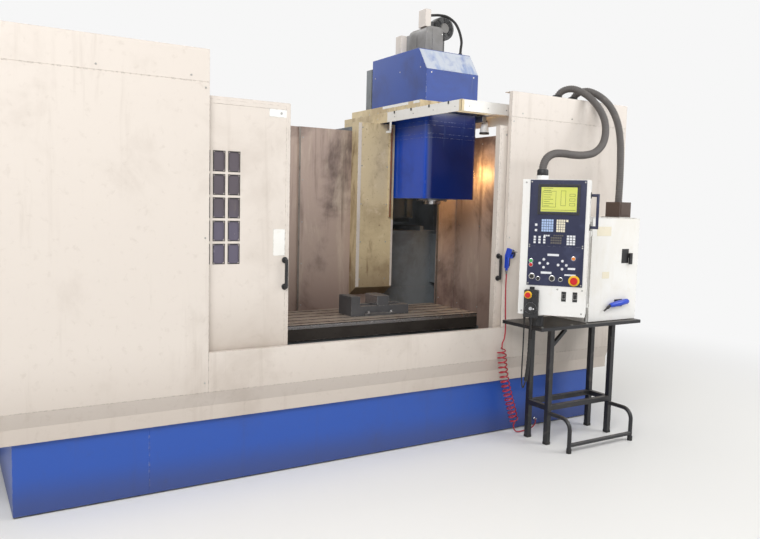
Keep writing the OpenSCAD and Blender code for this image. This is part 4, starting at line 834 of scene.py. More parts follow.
class MACHINE_OT_cords(bpy.types.Operator):
    """Makes the conduits, the air hose with its coil, and the pulse box's cable"""
    bl_idname = "machine.cords"
    bl_label = "Hoses and cables"

    def conduit(self, node, route, diameter, rib):
        """A ribbed conduit that goes from a gland into the top of the housing."""
        path = smooth_path(placed(route), rib / 4)
        crest, root = diameter / 2, diameter / 2 - 0.0028
        radii = [(crest, crest, root, root)[i % 4] for i in range(len(path))]
        made = Shape().tube(path, radii, 18).piece(node + "_ribbed", "base", "Conduit grey", "conduit_grey",
                                                  smooth_angle=50, stands_for=(node,))

    def air_hose(self, diameter, coil_diameter, turns):
        coil = coil_round(smooth_path(placed(COIL_ROUTE), 0.01), (coil_diameter - diameter) / 2, turns)
        path = smooth_path(placed(HOSE_ROUTE), 0.015)[:-1] + coil + smooth_path(placed(FLOOR_ROUTE), 0.01)
        hose = Shape().tube(path, diameter / 2, 10).piece(
            "air_hose_coiled", "base", "Hose red", "hose_red", smooth_angle=80,
            stands_for=("air_hose", "air_hose_coil"))

    def pulse_cable(self, diameter):
        path = smooth_path(placed(PULSE_ROUTE), 0.008)
        front_leg = at(0, -0.345, 0).y
        covered = [p for p in path if p.y < front_leg and 0.42 < p.z < 0.66]
        ribs = [(0.0105, 0.0108, 0.0095)[i % 3] for i in range(len(covered))]
        sleeve = Shape().tube(covered, ribs, 14).piece(
            "pulse_cable_sleeve", "pendant", "Black rubber", "cable_black", smooth_angle=50)
        glands, profile = Shape(), [(0.0, 0), (0.010, 0), (0.009, 0.012), (0.0062, 0.030), (0.0045, 0.034)]
        for end in (path[0], path[-1]):
            glands.turned(profile, end, DOWN, 20)
        glands = glands.piece("pulse_cable_glands", "pendant", "Black rubber", "cable_black")
        cable = Shape().tube(path, diameter / 2, 10).piece(
            "pulse_cable_cord", "pendant", "Black rubber", "cable_black", smooth_angle=80,
            stands_for=("pulse_cable",))

    def execute(self, context):
        sizes = context.scene.machine_hoses
        self.conduit("pendant_conduit", PENDANT_ROUTE, sizes.conduit, sizes.rib)
        self.conduit("cabinet_conduit", CABINET_ROUTE, sizes.conduit, sizes.rib)
        self.air_hose(sizes.hose, sizes.coil, sizes.turns)
        self.pulse_cable(sizes.cable)
        return {"FINISHED"}


# The pendant's small parts, in its own axes

# How far the keys stand out of the panel, and the pulse box out of the face
KEY_RISE = 0.0032
PULSE_BOX_DEPTH = 0.046

# Centres on the panel and the face: X from the face's left edge, and Z
GREEN_BUTTON, RED_BUTTON, ORANGE_BUTTON = (0.062, 1.098), (0.062, 1.076), (0.290, 1.118)
SMALL_KNOBS = ((0.104, 1.000), (0.226, 1.000))
DIALS = ((0.070, 1.012), (0.180, 1.004))
PANEL_STOP, PULSE_STOP = (0.298, 0.996), (0.058, 0.910)
PULSE_WHEEL = (0.075, 0.836)
ROCKERS = ((0.247, 0.906), (0.307, 0.906))

# The screen's lower left corner, its width and its height, and the drawn lines on it in shares of these
SCREEN_X, SCREEN_Z, SCREEN_WIDE, SCREEN_HIGH = FACE_X0 + 0.098, 1.368, 0.200, 0.142
SCREEN_LINE = 0.0016
SCREEN_FIELDS = ((0.06, 0.20, 0.36, 0.62), (0.55, 0.26, 0.13, 0.58), (0.78, 0.62, 0.15, 0.10),
                 (0.78, 0.44, 0.15, 0.10), (0.78, 0.26, 0.15, 0.10))

# Keys by piece: finish, then X, Z, columns, rows, width, height and the two pitches of each block
KEYS = {
    "keys_blue": ("Key blue", [(0.1115, 1.2615, 5, 5, 0.011, 0.012, 0.013, 0.014)]),
    "keys_cream": ("Key cream", [(0.1915, 1.2615, 4, 5, 0.010, 0.012, 0.012, 0.014),
                                 (0.2415, 1.3175, 1, 1, 0.012, 0.012, 0.0, 0.0)]),
    "keys_white": ("Key white", [(0.0755, 1.2615, 1, 2, 0.013, 0.013, 0.02, 0.03),
                                 (0.0715, 1.1955, 3, 3, 0.012, 0.011, 0.026, 0.015),
                                 (0.1260, 1.2360, 3, 1, 0.009, 0.008, 0.011, 0.0)]),
    "keys_soft": ("Conduit grey", [(0.1635, 1.1955, 5, 3, 0.010, 0.010, 0.012, 0.014),
                                   (0.1780, 1.2380, 5, 1, 0.009, 0.007, 0.011, 0.0)]),
    "keys_arrow": ("Key white", [(0.2495, 1.1915, 3, 4, 0.013, 0.011, 0.016, 0.014)]),
}


def on_panel(x, z, out=0.0):
    """A point out of the panel, from its X to the right of the face's left edge and its height."""
    return (FACE_X0 + x, PANEL_Y - out, z)


def on_face(x, z, out=0.0):
    """The same for the face of the pendant's housing, below and beside the panel."""
    return (FACE_X0 + x, FACE_Y - out, z)


def key_block(shape, x, z, columns, rows, wide, high, pitch_x, pitch_z):
    """A group of keys on the panel."""
    for column in range(columns):
        for row in range(rows):
            key_x, key_z = x + column * pitch_x, z + row * pitch_z
            shape.block(on_panel(key_x, key_z, KEY_RISE), on_panel(key_x + wide, key_z + high, 0.0001))


def knob(shape, x, z, radius, rise):
    """A round knob or button that stands on the panel."""
    shape.turned([(radius, 0), (radius, rise * 0.7), (radius * 0.86, rise)], on_panel(x, z), TO_FRONT, 24)


class MACHINE_OT_pendant(bpy.types.Operator):
    """Makes the pendant's screen, keys, knobs, warning rings, grab handle ends and bare label plates"""
    bl_idname = "machine.pendant"
    bl_label = "Pendant"

    def screen(self):
        left, low, glass_y = SCREEN_X, SCREEN_Z, FACE_Y - 0.0012
        right, top = left + SCREEN_WIDE, low + SCREEN_HIGH
        inset, edge, gap = 0.004, 0.012, 0.001
        glass = Shape(PENDANT).block((left + inset, glass_y, low + inset),
                                     (right - inset, glass_y + 0.001, top - inset))
        glass.piece("screen_glass", "pendant", "Screen light", "key_plastic")
        self.screen_lines(left, low, glass_y)
        rim = Shape(PENDANT).border((left - edge, PANEL_Y - 0.0055, low - edge),
                                    (right + edge, PANEL_Y - 0.0028, top + edge), edge - gap)
        rim.piece("screen_frame", "pendant", "Black plastic", "navy_panel", bevel=0.001)

    def screen_lines(self, left, low, glass_y):
        """Plain fields and bars on the screen."""
        lines = Shape(PENDANT)
        for share_x, share_z, wide, high in SCREEN_FIELDS:
            x0, z0 = left + SCREEN_WIDE * share_x, low + SCREEN_HIGH * share_z
            x1, z1 = x0 + SCREEN_WIDE * wide, z0 + SCREEN_HIGH * high
            bars = ((x0, z0, x1, z0 + SCREEN_LINE), (x0, z1 - SCREEN_LINE, x1, z1),
                    (x0, z0, x0 + SCREEN_LINE, z1), (x1 - SCREEN_LINE, z0, x1, z1))
            for bar_x0, bar_z0, bar_x1, bar_z1 in bars:
                lines.block((bar_x0, glass_y - 0.0005, bar_z0), (bar_x1, glass_y, bar_z1))
        bar_y = glass_y - 0.0004
        for row in spread(0.12, 0.085, 9):
            lines.block((left + SCREEN_WIDE * 0.09, bar_y, low + SCREEN_HIGH * (row + 0.12)),
                        (left + SCREEN_WIDE * (0.30 + 0.06 * math.sin(row * 40)), glass_y,
                         low + SCREEN_HIGH * (row + 0.135)))
        lines.block((left + 0.010, bar_y, low + 0.012), (left + SCREEN_WIDE - 0.010, glass_y, low + 0.014))
        lines.piece("screen_lines", "pendant", "Screen ink", "key_plastic")

    def keys(self):
        for name, (finish, blocks) in KEYS.items():
            shape = Shape(PENDANT)
            for given in blocks:
                key_block(shape, *given)
            shape.piece(name, "pendant", finish, "key_plastic", bevel=0.0008)

    def buttons(self):
        for name, finish, centre in (("button_green", "Key green", GREEN_BUTTON),
                                     ("button_red", "Stop red", RED_BUTTON),
                                     ("button_orange", "Key orange", ORANGE_BUTTON)):
            shape = Shape(PENDANT)
            knob(shape, *centre, 0.0095, 0.010)
            shape.piece(name, "pendant", finish, "key_plastic")

    def collars(self):
        """Metal rings under the buttons, knobs and dials."""
        collars = Shape(PENDANT)
        for centre in (GREEN_BUTTON, RED_BUTTON) + SMALL_KNOBS + (ORANGE_BUTTON,):
            knob(collars, *centre, 0.0125, 0.003)
        for centre in DIALS:
            knob(collars, *centre, 0.017, 0.003)
        collars.piece("button_collars", "pendant", "Turned steel", "wheel_grey")

    def jog_keys(self):
        """Two groups of four round keys, each set in a cross."""
        reach_out = 0.022
        for name, centre_x, centre_z in (("jog_left", 0.132, 1.086), ("jog_right", 0.232, 1.080)):
            shape = Shape(PENDANT)
            for across, up in ((1, 0), (-1, 0), (0, 1), (0, -1)):
                knob(shape, centre_x + across * reach_out, centre_z + up * reach_out, 0.0075, 0.0052)
            shape.piece(name, "pendant", "Key white", "key_plastic")

    def knobs(self):
        """Two dials with a raised bar, and two small knobs."""
        knobs = Shape(PENDANT)
        for x, z in DIALS:
            knob(knobs, x, z, 0.0135, 0.017)
            knobs.block(on_panel(x - 0.0025, z - 0.012, 0.021), on_panel(x + 0.0025, z + 0.012, 0.016))
        for centre in SMALL_KNOBS:
            knob(knobs, *centre, 0.0095, 0.0095)
        knobs.piece("knobs_black", "pendant", "Black plastic", "black_plastic", bevel=0.0006)

    def plates(self):
        """Bare label plates on the panel."""
        thick = 0.0012
        labels = Shape(PENDANT)
        for x, z, wide, high in ((0.150, 1.128, 0.062, 0.012), (0.118, 1.028, 0.058, 0.012),
                                 (0.262, 1.056, 0.040, 0.011), (0.246, 1.022, 0.060, 0.009)):
            labels.block(on_panel(x, z, thick), on_panel(x + wide, z + high))
        labels.piece("panel_plates", "pendant", "Key white", "key_plastic", bevel=0.0004)
        badge = Shape(PENDANT).block(on_panel(0.146, 1.5225, thick), on_panel(0.226, 1.5335))
        badge.piece("panel_badge_place", "pendant", "Navy panel", "navy_panel", bevel=0.0004)

    def stop_rings(self):
        rings = Shape(PENDANT)
        rings.turned([(0.030, 0), (0.030, 0.0022), (0.0285, 0.003), (0.0125, 0.003)],
                     on_panel(*PANEL_STOP), TO_FRONT, 40)
        rings.turned([(0.0215, 0), (0.0215, 0.002), (0.0205, 0.0026), (0.0085, 0.0026)],
                     on_face(*PULSE_STOP, PULSE_BOX_DEPTH), TO_FRONT, 36)
        rings.piece("stop_rings", "pendant", "Warning yellow", "stop_red")

    def fixings(self):
        screws = Shape(PENDANT)
        for x in (0.050, 0.335):
            for z in (0.972, 1.176, 1.187, 1.534):
                screws.turned([(0.0042, 0), (0.0042, 0.0012), (0.0030, 0.0022)], on_panel(x, z), TO_FRONT, 12)
        for x, z in ((0.020, 0.815), (0.344, 0.815), (0.020, 1.530), (0.212, 0.944), (0.344, 0.944)):
            screws.turned([(0.0050, 0), (0.0050, 0.0012), (0.0034, 0.0026)], on_face(x, z), TO_FRONT, 12)
        screws.piece("pendant_screws", "pendant", "Zinc", "wheel_grey")
        frames = Shape(PENDANT)
        half_wide, half_high, side, end = 0.0125, 0.0270, 0.0033, 0.0130
        for x, z in ROCKERS:
            frames.border(on_face(x - half_wide, z - half_high, 0.0025),
                          on_face(x + half_wide, z + half_high), side, end)
        frames.piece("rocker_frames", "pendant", "Black plastic", "black_plastic", bevel=0.0008)

    def pulse_scale(self):
        """The fifty marks round the pulse wheel, each fifth one longer."""
        marks, inner, short, long = 50, 0.0310, 0.0330, 0.0345
        middle = Vector(on_face(*PULSE_WHEEL, PULSE_BOX_DEPTH + 0.0006))
        scale = Shape(PENDANT)
        for i in range(marks):
            turn = 2 * math.pi * i / marks
            way = Vector((math.cos(turn), 0, math.sin(turn)))
            scale.rod(middle + way * inner, middle + way * (short if i % 5 else long), 0.0004, 6)
        scale.piece("pulse_scale", "pendant", "Key white", "key_plastic")

    def pulse_parts(self):
        x, z = PULSE_WHEEL
        crank = Shape(PENDANT)
        crank.turned([(0.0030, 0), (0.0048, 0.004), (0.0052, 0.012), (0.0040, 0.016), (0.0015, 0.0175)],
                     on_face(x + 0.018, z, PULSE_BOX_DEPTH + 0.020), TO_FRONT, 20)
        crank.turned([(0.0100, 0), (0.0095, 0.0016), (0.0040, 0.0020)],
                     on_face(x, z, PULSE_BOX_DEPTH + 0.0132), TO_FRONT, 24)
        crank.piece("pulse_crank", "pulse_wheel", "Turned steel", "wheel_grey")
        hook = Shape(PENDANT)
        hook.block(on_face(0.040, 0.9342, 0.040), on_face(0.110, 0.9372, 0.001))
        hook.block(on_face(0.062, 0.9372, 0.012), on_face(0.088, 0.9522, 0.004))
        hook.piece("pulse_bracket", "pendant", "Black paint", "black_plastic", bevel=0.0008)

    def grab_handle(self):
        flanges = Shape(PENDANT)
        for z in (1.290, 1.466):
            flanges.turned([(0.018, 0), (0.018, 0.003), (0.011, 0.006)],
                           (FACE_X1, FACE_Y + 0.060, z), TO_RIGHT, 24)
        flanges.piece("grab_handle_flanges", "pendant", "Black plastic", "handle_black")

    def execute(self, context):
        self.screen()
        self.keys()
        self.buttons()
        self.collars()
        self.jog_keys()
        self.knobs()
        self.plates()
        self.stop_rings()
        self.fixings()
        self.pulse_scale()
        self.pulse_parts()
        self.grab_handle()
        return {"FINISHED"}


# Small parts of the enclosure, the inside and the travelling unit, placed by X, depth and Z in metres

# Width of the wiper strips on the cover plates
WIPER_WIDE = 0.014

# The spindle motor's left side, front and seat on the cover, as X, depth and Z
MOTOR_LEFT, MOTOR_FRONT, MOTOR_SEAT = 0.900, 0.870, 2.430


class MACHINE_OT_enclosure(bpy.types.Operator):
    """Makes the enclosure's screws, bare label plates, door trims, glands and hose fittings"""
    bl_idname = "machine.enclosure"
    bl_label = "Enclosure trim"

    def housings(self):
        (inner, front, _), (outer, _, _) = reach("right_housing")
        small = 0.0045
        heads = Shape()
        for side in (-1, 1):
            seams = [side * x for x in (inner + 0.019, outer - 0.020)]
            heads.screws(grid(seams, [front], spread(0.52, 0.69, 3)), TO_FRONT, small)
            heads.screws(grid([side * x for x in (1.00, 1.41, 1.82)], [front], [1.950]), TO_FRONT, small)
            heads.screws(grid([side * outer], spread(0.05, 0.36, 4), (0.51, 1.90, 1.95)), (side, 0, 0), small)
        heads.piece("housing_screws", "base", "Zinc", "conduit_grey")

    def door_trim(self, side, door):
        """Raised strips down both edges and along the top."""
        (left, _, _), (right, _, _) = reach(door)
        near, far, low, top, wide = 0.0005, 0.0030, 0.615, 1.858, 0.012
        trim = Shape()
        for x in (left + 0.010, right - 0.022):
            trim.plates(((x, near, low), (x + wide, far, top)))
        trim.plates(((left + 0.022, near, top - 0.020), (right - 0.022, far, top)))
        trim.piece(side + "_door_trim", door, "Door paint", "cream_panel", bevel=0.0008)

    def pane_seals(self, side, door):
        """A rubber seal round each pane of the door's window."""
        low, high = reach(door + "_glass")
        middle_x, middle_z = (low[0] + high[0]) / 2, (low[2] + high[2]) / 2
        columns, rows, pitch_x, pitch_z = 6, 5, 0.074, 0.110
        half_wide, half_high, lip = 0.0300, 0.0490, 0.0038
        seals = Shape()
        for column in range(columns):
            for row in range(rows):
                x = middle_x + (column - (columns - 1) / 2) * pitch_x
                z = middle_z + (row - (rows - 1) / 2) * pitch_z
                seals.border(at(x - half_wide, 0.0003, z - half_high),
                             at(x + half_wide, 0.0022, z + half_high), lip)
        seals.piece(side + "_pane_seals", door, "Black rubber", "cream_panel", bevel=0.0006)

    def handle_flanges(self, side, door):
        low, high = reach(door + "_handle")
        grip = (low[0] + high[0]) / 2
        flanges = Shape()
        for z in (low[2] + 0.008, high[2] - 0.008):
            flanges.turned([(0.016, 0), (0.016, 0.004), (0.010, 0.007)], at(grip, 0.002, z), TO_FRONT, 24)
        flanges.piece(side + "_handle_flanges", door, "Black plastic", "handle_black")

    def door_screws(self, side, door):
        (left, _, _), (right, _, _) = reach(door)
        heads = Shape().screws(grid((left + 0.05, right - 0.05), [0.001], (0.66, 1.82)), TO_FRONT)
        heads.piece(side + "_door_screws", door, "Zinc", "conduit_grey")

    def door_labels(self):
        labels = Shape().plates(((-0.606, 0.0010, 1.800), (-0.512, 0.0022, 1.838)),
                                ((-0.578, 0.0010, 1.120), (-0.516, 0.0022, 1.252)))
        labels.piece("door_label_plates", "left_door", "White paint", "cream_panel", bevel=0.0005)

    def glands(self):
        """Glands where the conduits leave the pendant, the connector block and the housing's roof."""
        radius, tall, short, seat = 0.027, 0.040, 0.034, 0.0002
        nuts = Shape()
        ends = ((PENDANT_ROUTE[-1], tall), (CABINET_ROUTE[-1], tall), (CABINET_ROUTE[0], short))
        for (x, depth, z), height in ends:
            nuts.gland(at(x, depth, z + seat), UP, radius, height)
        nuts.piece("conduit_glands", "base", "Black plastic", "conduit_grey", bevel=0.0008)
        top = Shape().gland((PENDANT_PIVOT.x, PENDANT_PIVOT.y, PENDANT_TOP + 0.0255), UP, radius, short)
        top.piece("pendant_gland", "pendant", "Black plastic", "conduit_grey", bevel=0.0008)

    def hose_fittings(self):
        nuts = Shape()
        x, depth, z = HOSE_ROUTE[0]
        nuts.turned([(0.0075, 0), (0.0075, 0.012), (0.0056, 0.014), (0.0056, 0.022)],
                    at(x, depth, z - 0.0005), DOWN, 6)
        x, depth, z = FLOOR_ROUTE[-1]
        nuts.turned([(0.0095, -0.001), (0.0095, 0.010), (0.0060, 0.014), (0.0060, 0.024)],
                    at(x, depth + 0.0005, z), TO_FRONT, 6)
        nuts.piece("hose_fittings", "base", "Turned steel", "gun_blue")

    def air_gun(self):
        """The round magnet that holds the air gun, its trigger and its nozzle."""
        hold = Shape()
        hold.turned([(0.0272, -0.0005), (0.0272, 0.017), (0.0240, 0.0208), (0.0100, 0.0208), (0.0100, 0.0160),
                     (0.0, 0.0160)], at(0.945, -0.030, 1.112), TO_FRONT, 36)
        hold.plates(((0.9045, -0.0668, 1.040), (0.9135, -0.0592, 1.100)))
        hold.piece("gun_magnet", "base", "Black plastic", "gun_blue", bevel=0.0006)
        nozzle = Shape().turned([(0.0062, 0), (0.0062, 0.010), (0.0036, 0.014), (0.0032, 0.050)],
                                at(0.921, -0.063, 1.132), (0.97, 0, -0.18), 16)
        nozzle.piece("gun_nozzle", "base", "Turned steel", "gun_blue")

    def stand(self):
        heads = Shape().screws(grid((0.89, 1.12, 1.245), (-0.385, -0.085), [0.7205]), UP, 0.007, 0.004)
        heads.piece("stand_screws", "base", "Zinc", "stand_black")
        half, floor_gap = 0.0162, 0.0005
        feet = Shape()
        for x in (1.045, 1.560):
            feet.turned([(0.0150, floor_gap), (0.0150, 0.024), (0.0128, 0.030)], at(x, -0.480, 0), UP, 20)
            for y in (-0.300, -0.140):
                feet.plates(((x - half, y - half, floor_gap), (x + half, y + half, 0.016)))
        feet.piece("stand_feet", "base", "Black rubber", "stand_black", bevel=0.001)

    def execute(self, context):
        self.housings()
        for side in ("left", "right"):
            door = side + "_door"
            self.door_trim(side, door)
            self.pane_seals(side, door)
            self.handle_flanges(side, door)
            self.door_screws(side, door)
        self.door_labels()
        self.glands()
        self.hose_fittings()
        self.air_gun()
        self.stand()
        return {"FINISHED"}


class MACHINE_OT_cabinets(bpy.types.Operator):
    """Makes the control cabinet's latch plate, connector block and hinges, and the other cabinets' trim"""
    bl_idname = "machine.cabinets"
    bl_label = "Cabinets"

    def latch_plate(self, face):
        lock = Shape().plates(((1.543, face - 0.0025, 1.070), (1.603, face, 1.156)))
        lock.piece("latch_plate", "nc_door", "Black plastic", "black_plastic", bevel=0.001)

    def connector(self):
        """The conduit's connector block on the cabinet, with its plate."""
        block = Shape().plates(((1.588, -0.286, 1.3455), (1.692, -0.176, 1.4400)),
                               ((1.600, -0.290, 1.3600), (1.680, -0.286, 1.4260)))
        block.piece("connector_block", "base", "Connector brown", "conduit_grey", bevel=0.002)
        top = 1.3482
        base = Shape().plates(((1.572, -0.306, 1.3452), (1.666, -0.156, top)))
        base.screws(grid([1.580], (-0.296, -0.166), [top]), UP, 0.0035, 0.002)
        base.piece("connector_plate", "base", "Zinc", "conduit_grey", bevel=0.0006)

    def hinges(self):
        caps = Shape()
        for z in (0.784, 1.291):
            caps.turned([(0.0088, -0.027), (0.0088, 0.027)], at(1.274, -0.349, z), UP, 18)
        caps.piece("nc_hinge_caps", "nc_door", "Zinc", "white_panel")

    def door_labels(self, face):
        """Bare plates on the control cabinet's door."""
        labels = Shape().plates(((1.320, face - 0.0012, 1.235), (1.440, face, 1.290)),
                                ((1.380, face - 0.0012, 0.980), (1.440, face, 1.020)))
        labels.piece("nc_label_plates", "nc_door", "Key cream", "white_panel", bevel=0.0004)

    def wash_gun(self):
        """The blue gun that hangs across the door."""
        depth = -0.3785
        grip = Shape().turned([(0.010, 0), (0.017, 0.012), (0.018, 0.080), (0.014, 0.150), (0.010, 0.160)],
                              at(1.600, depth, 0.838), (-0.97, 0, -0.12), 20)
        grip.piece("wash_gun", "nc_door", "Gun blue", "gun_blue")
        tip = Shape().turned([(0.0085, 0), (0.0085, 0.030), (0.0050, 0.036), (0.0050, 0.062)],
                             at(1.446, depth, 0.819), (-0.86, 0, -0.50), 16)
        tip.plates(((1.498, -0.366, 0.806), (1.560, -0.3602, 0.850)))
        tip.piece("wash_gun_tip", "nc_door", "Black plastic", "black_plastic")

    def coolant_tank(self):
        wide = 0.007
        heads = Shape().screws(grid([-1.901], (0.95, 1.50, 2.05), (0.05, 0.41)), TO_LEFT, wide)
        heads.screws(grid((-1.87, -1.68), (0.94, 1.35, 1.70, 2.08), [0.440]), UP, wide)
        heads.piece("tank_screws", "base", "Zinc", "blue_base")
        lid = Shape().plates(((-1.875, 0.960, 0.4402), (-1.680, 1.640, 0.4462)),
                             ((-1.815, 1.280, 0.4462), (-1.740, 1.300, 0.4622)))
        lid.piece("tank_lid", "base", "Base blue", "blue_base", bevel=0.0015)

    def electrical_cabinet(self):
        latches = Shape()
        for z in (0.62, 1.02, 1.52):
            latches.plates(((1.9095, 1.272, z), (1.9117, 1.312, z + 0.090)))
        latches.piece("cabinet_latches", "cabinet_door", "Zinc", "cabinet_cream", bevel=0.0006)

    def execute(self, context):
        door_face = reach("nc_door")[0][1]
        self.latch_plate(door_face)
        self.connector()
        self.hinges()
        self.door_labels(door_face)
        self.wash_gun()
        self.coolant_tank()
        self.electrical_cabinet()
        return {"FINISHED"}


class MACHINE_OT_interior(bpy.types.Operator):
    """Makes the wipers of the cover plates, the strips and rivets inside, and the vise's jaws"""
    bl_idname = "machine.interior"
    bl_label = "Interior"

    def wipers(self, strip, xs, front, low, high):
        """Upright strips that stand a little out of a cover plate's front."""
        for x in xs:
            strip.block((x, front - 0.0014, low), (x + WIPER_WIDE, front + 0.0004, high))
        return strip

    def cover_plates(self):
        inner_low, inner_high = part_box("left_plate_inner")
        low, high = inner_low.z + 0.004, inner_high.z - 0.004
        for node in ("left_plate_inner", "left_plate_outer", "right_plate_inner", "right_plate_outer"):
            start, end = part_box(node)
            strip = self.wipers(Shape(), (start.x, end.x - WIPER_WIDE), start.y, low, high)
            strip.piece(node + "_wipers", node, "Trough steel", "splash_panel")
        start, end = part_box("saddle_plates")
        edges = (start.x, 0.721, 1.200, end.x - WIPER_WIDE)
        strip = self.wipers(Shape(), edges, start.y, low, high)
        strip.piece("saddle_plate_wipers", "saddle", "Trough steel", "splash_panel")
        heads = Shape()
        for x, inward in zip(edges, (0.030, -0.016, 0.030, -0.016)):
            heads.screws([(x + inward, start.y, z) for z in spread(0.70, 0.28, 5)], TO_FRONT, 0.005)
        heads.piece("saddle_plate_screws", "saddle", "Zinc", "splash_panel")

    def splash_walls(self):
        heads = Shape()
        for side in (-1, 1):
            heads.screws(grid([side * 1.3635], (0.12, 0.45, 0.78, 1.02), (0.66, 1.25, 1.84)), (-side, 0, 0))
        heads.piece("splash_wall_screws", "base", "Zinc", "splash_panel")

    def magazine(self):
        front = 0.990
        # Cream strips on the cover's edges, clean paint; the left strip is also a painted highlight, for a
        # flange that faces the light
        edges = Shape().plates(((0.4545, front - 0.0025, 0.818), (0.4790, front + 0.0002, 1.940)),
                               ((0.7310, front - 0.0025, 0.818), (0.7465, front + 0.0002, 1.286)))
        edges.piece("magazine_cover_edges", "saddle", "Cream paint", "tan_panel", bevel=0.0008)
        strip = Shape().plates(((0.707, front - 0.0145, 1.302), (0.7225, front - 0.0118, 1.920)))
        strip.piece("magazine_rust_strip", "saddle", "Rusty steel", "tan_panel", bevel=0.0006)
        heads = Shape().screws(grid((0.487, 0.690), [front], spread(0.87, 0.26, 5)), TO_FRONT, 0.005)
        heads.piece("magazine_screws", "saddle", "Zinc", "tan_panel")

    def vise(self):
        """Hardened plates on both jaws, and the bolts that clamp the vise to the table."""
        for name, body, x in (("vise_fixed_jaw_plate", "base", 0.2118),
                              ("vise_jaw_plate", "vise_jaw", 0.3370)):
            jaw = Shape().plates(((x, 0.500, 0.7605), (x + 0.0034, 0.650, 0.8185)))
            jaw.piece(name, body, "Turned steel", "vise_iron", bevel=0.0008)
        bolts = Shape()
        for place in grid((0.262, 0.428), (0.4785, 0.6715), [0.716]):
            bolts.turned([(0.014, 0), (0.014, 0.004)], place, UP, 24)
            bolts.turned([(0.0105, 0.004), (0.0105, 0.014)], place, UP, 6)
        bolts.piece("vise_clamp_bolts", "base", "Turned steel", "screw_steel", bevel=0.0006)

    def table(self):
        edge = Shape().plates(((-0.999, 0.3285, 0.676), (0.999, 0.3303, 0.694)))
        edge.piece("table_edge", "base", "Turned steel", "table_iron", bevel=0.0005)

    def execute(self, context):
        self.cover_plates()
        self.splash_walls()
        self.magazine()
        self.vise()
        self.table()
        return {"FINISHED"}


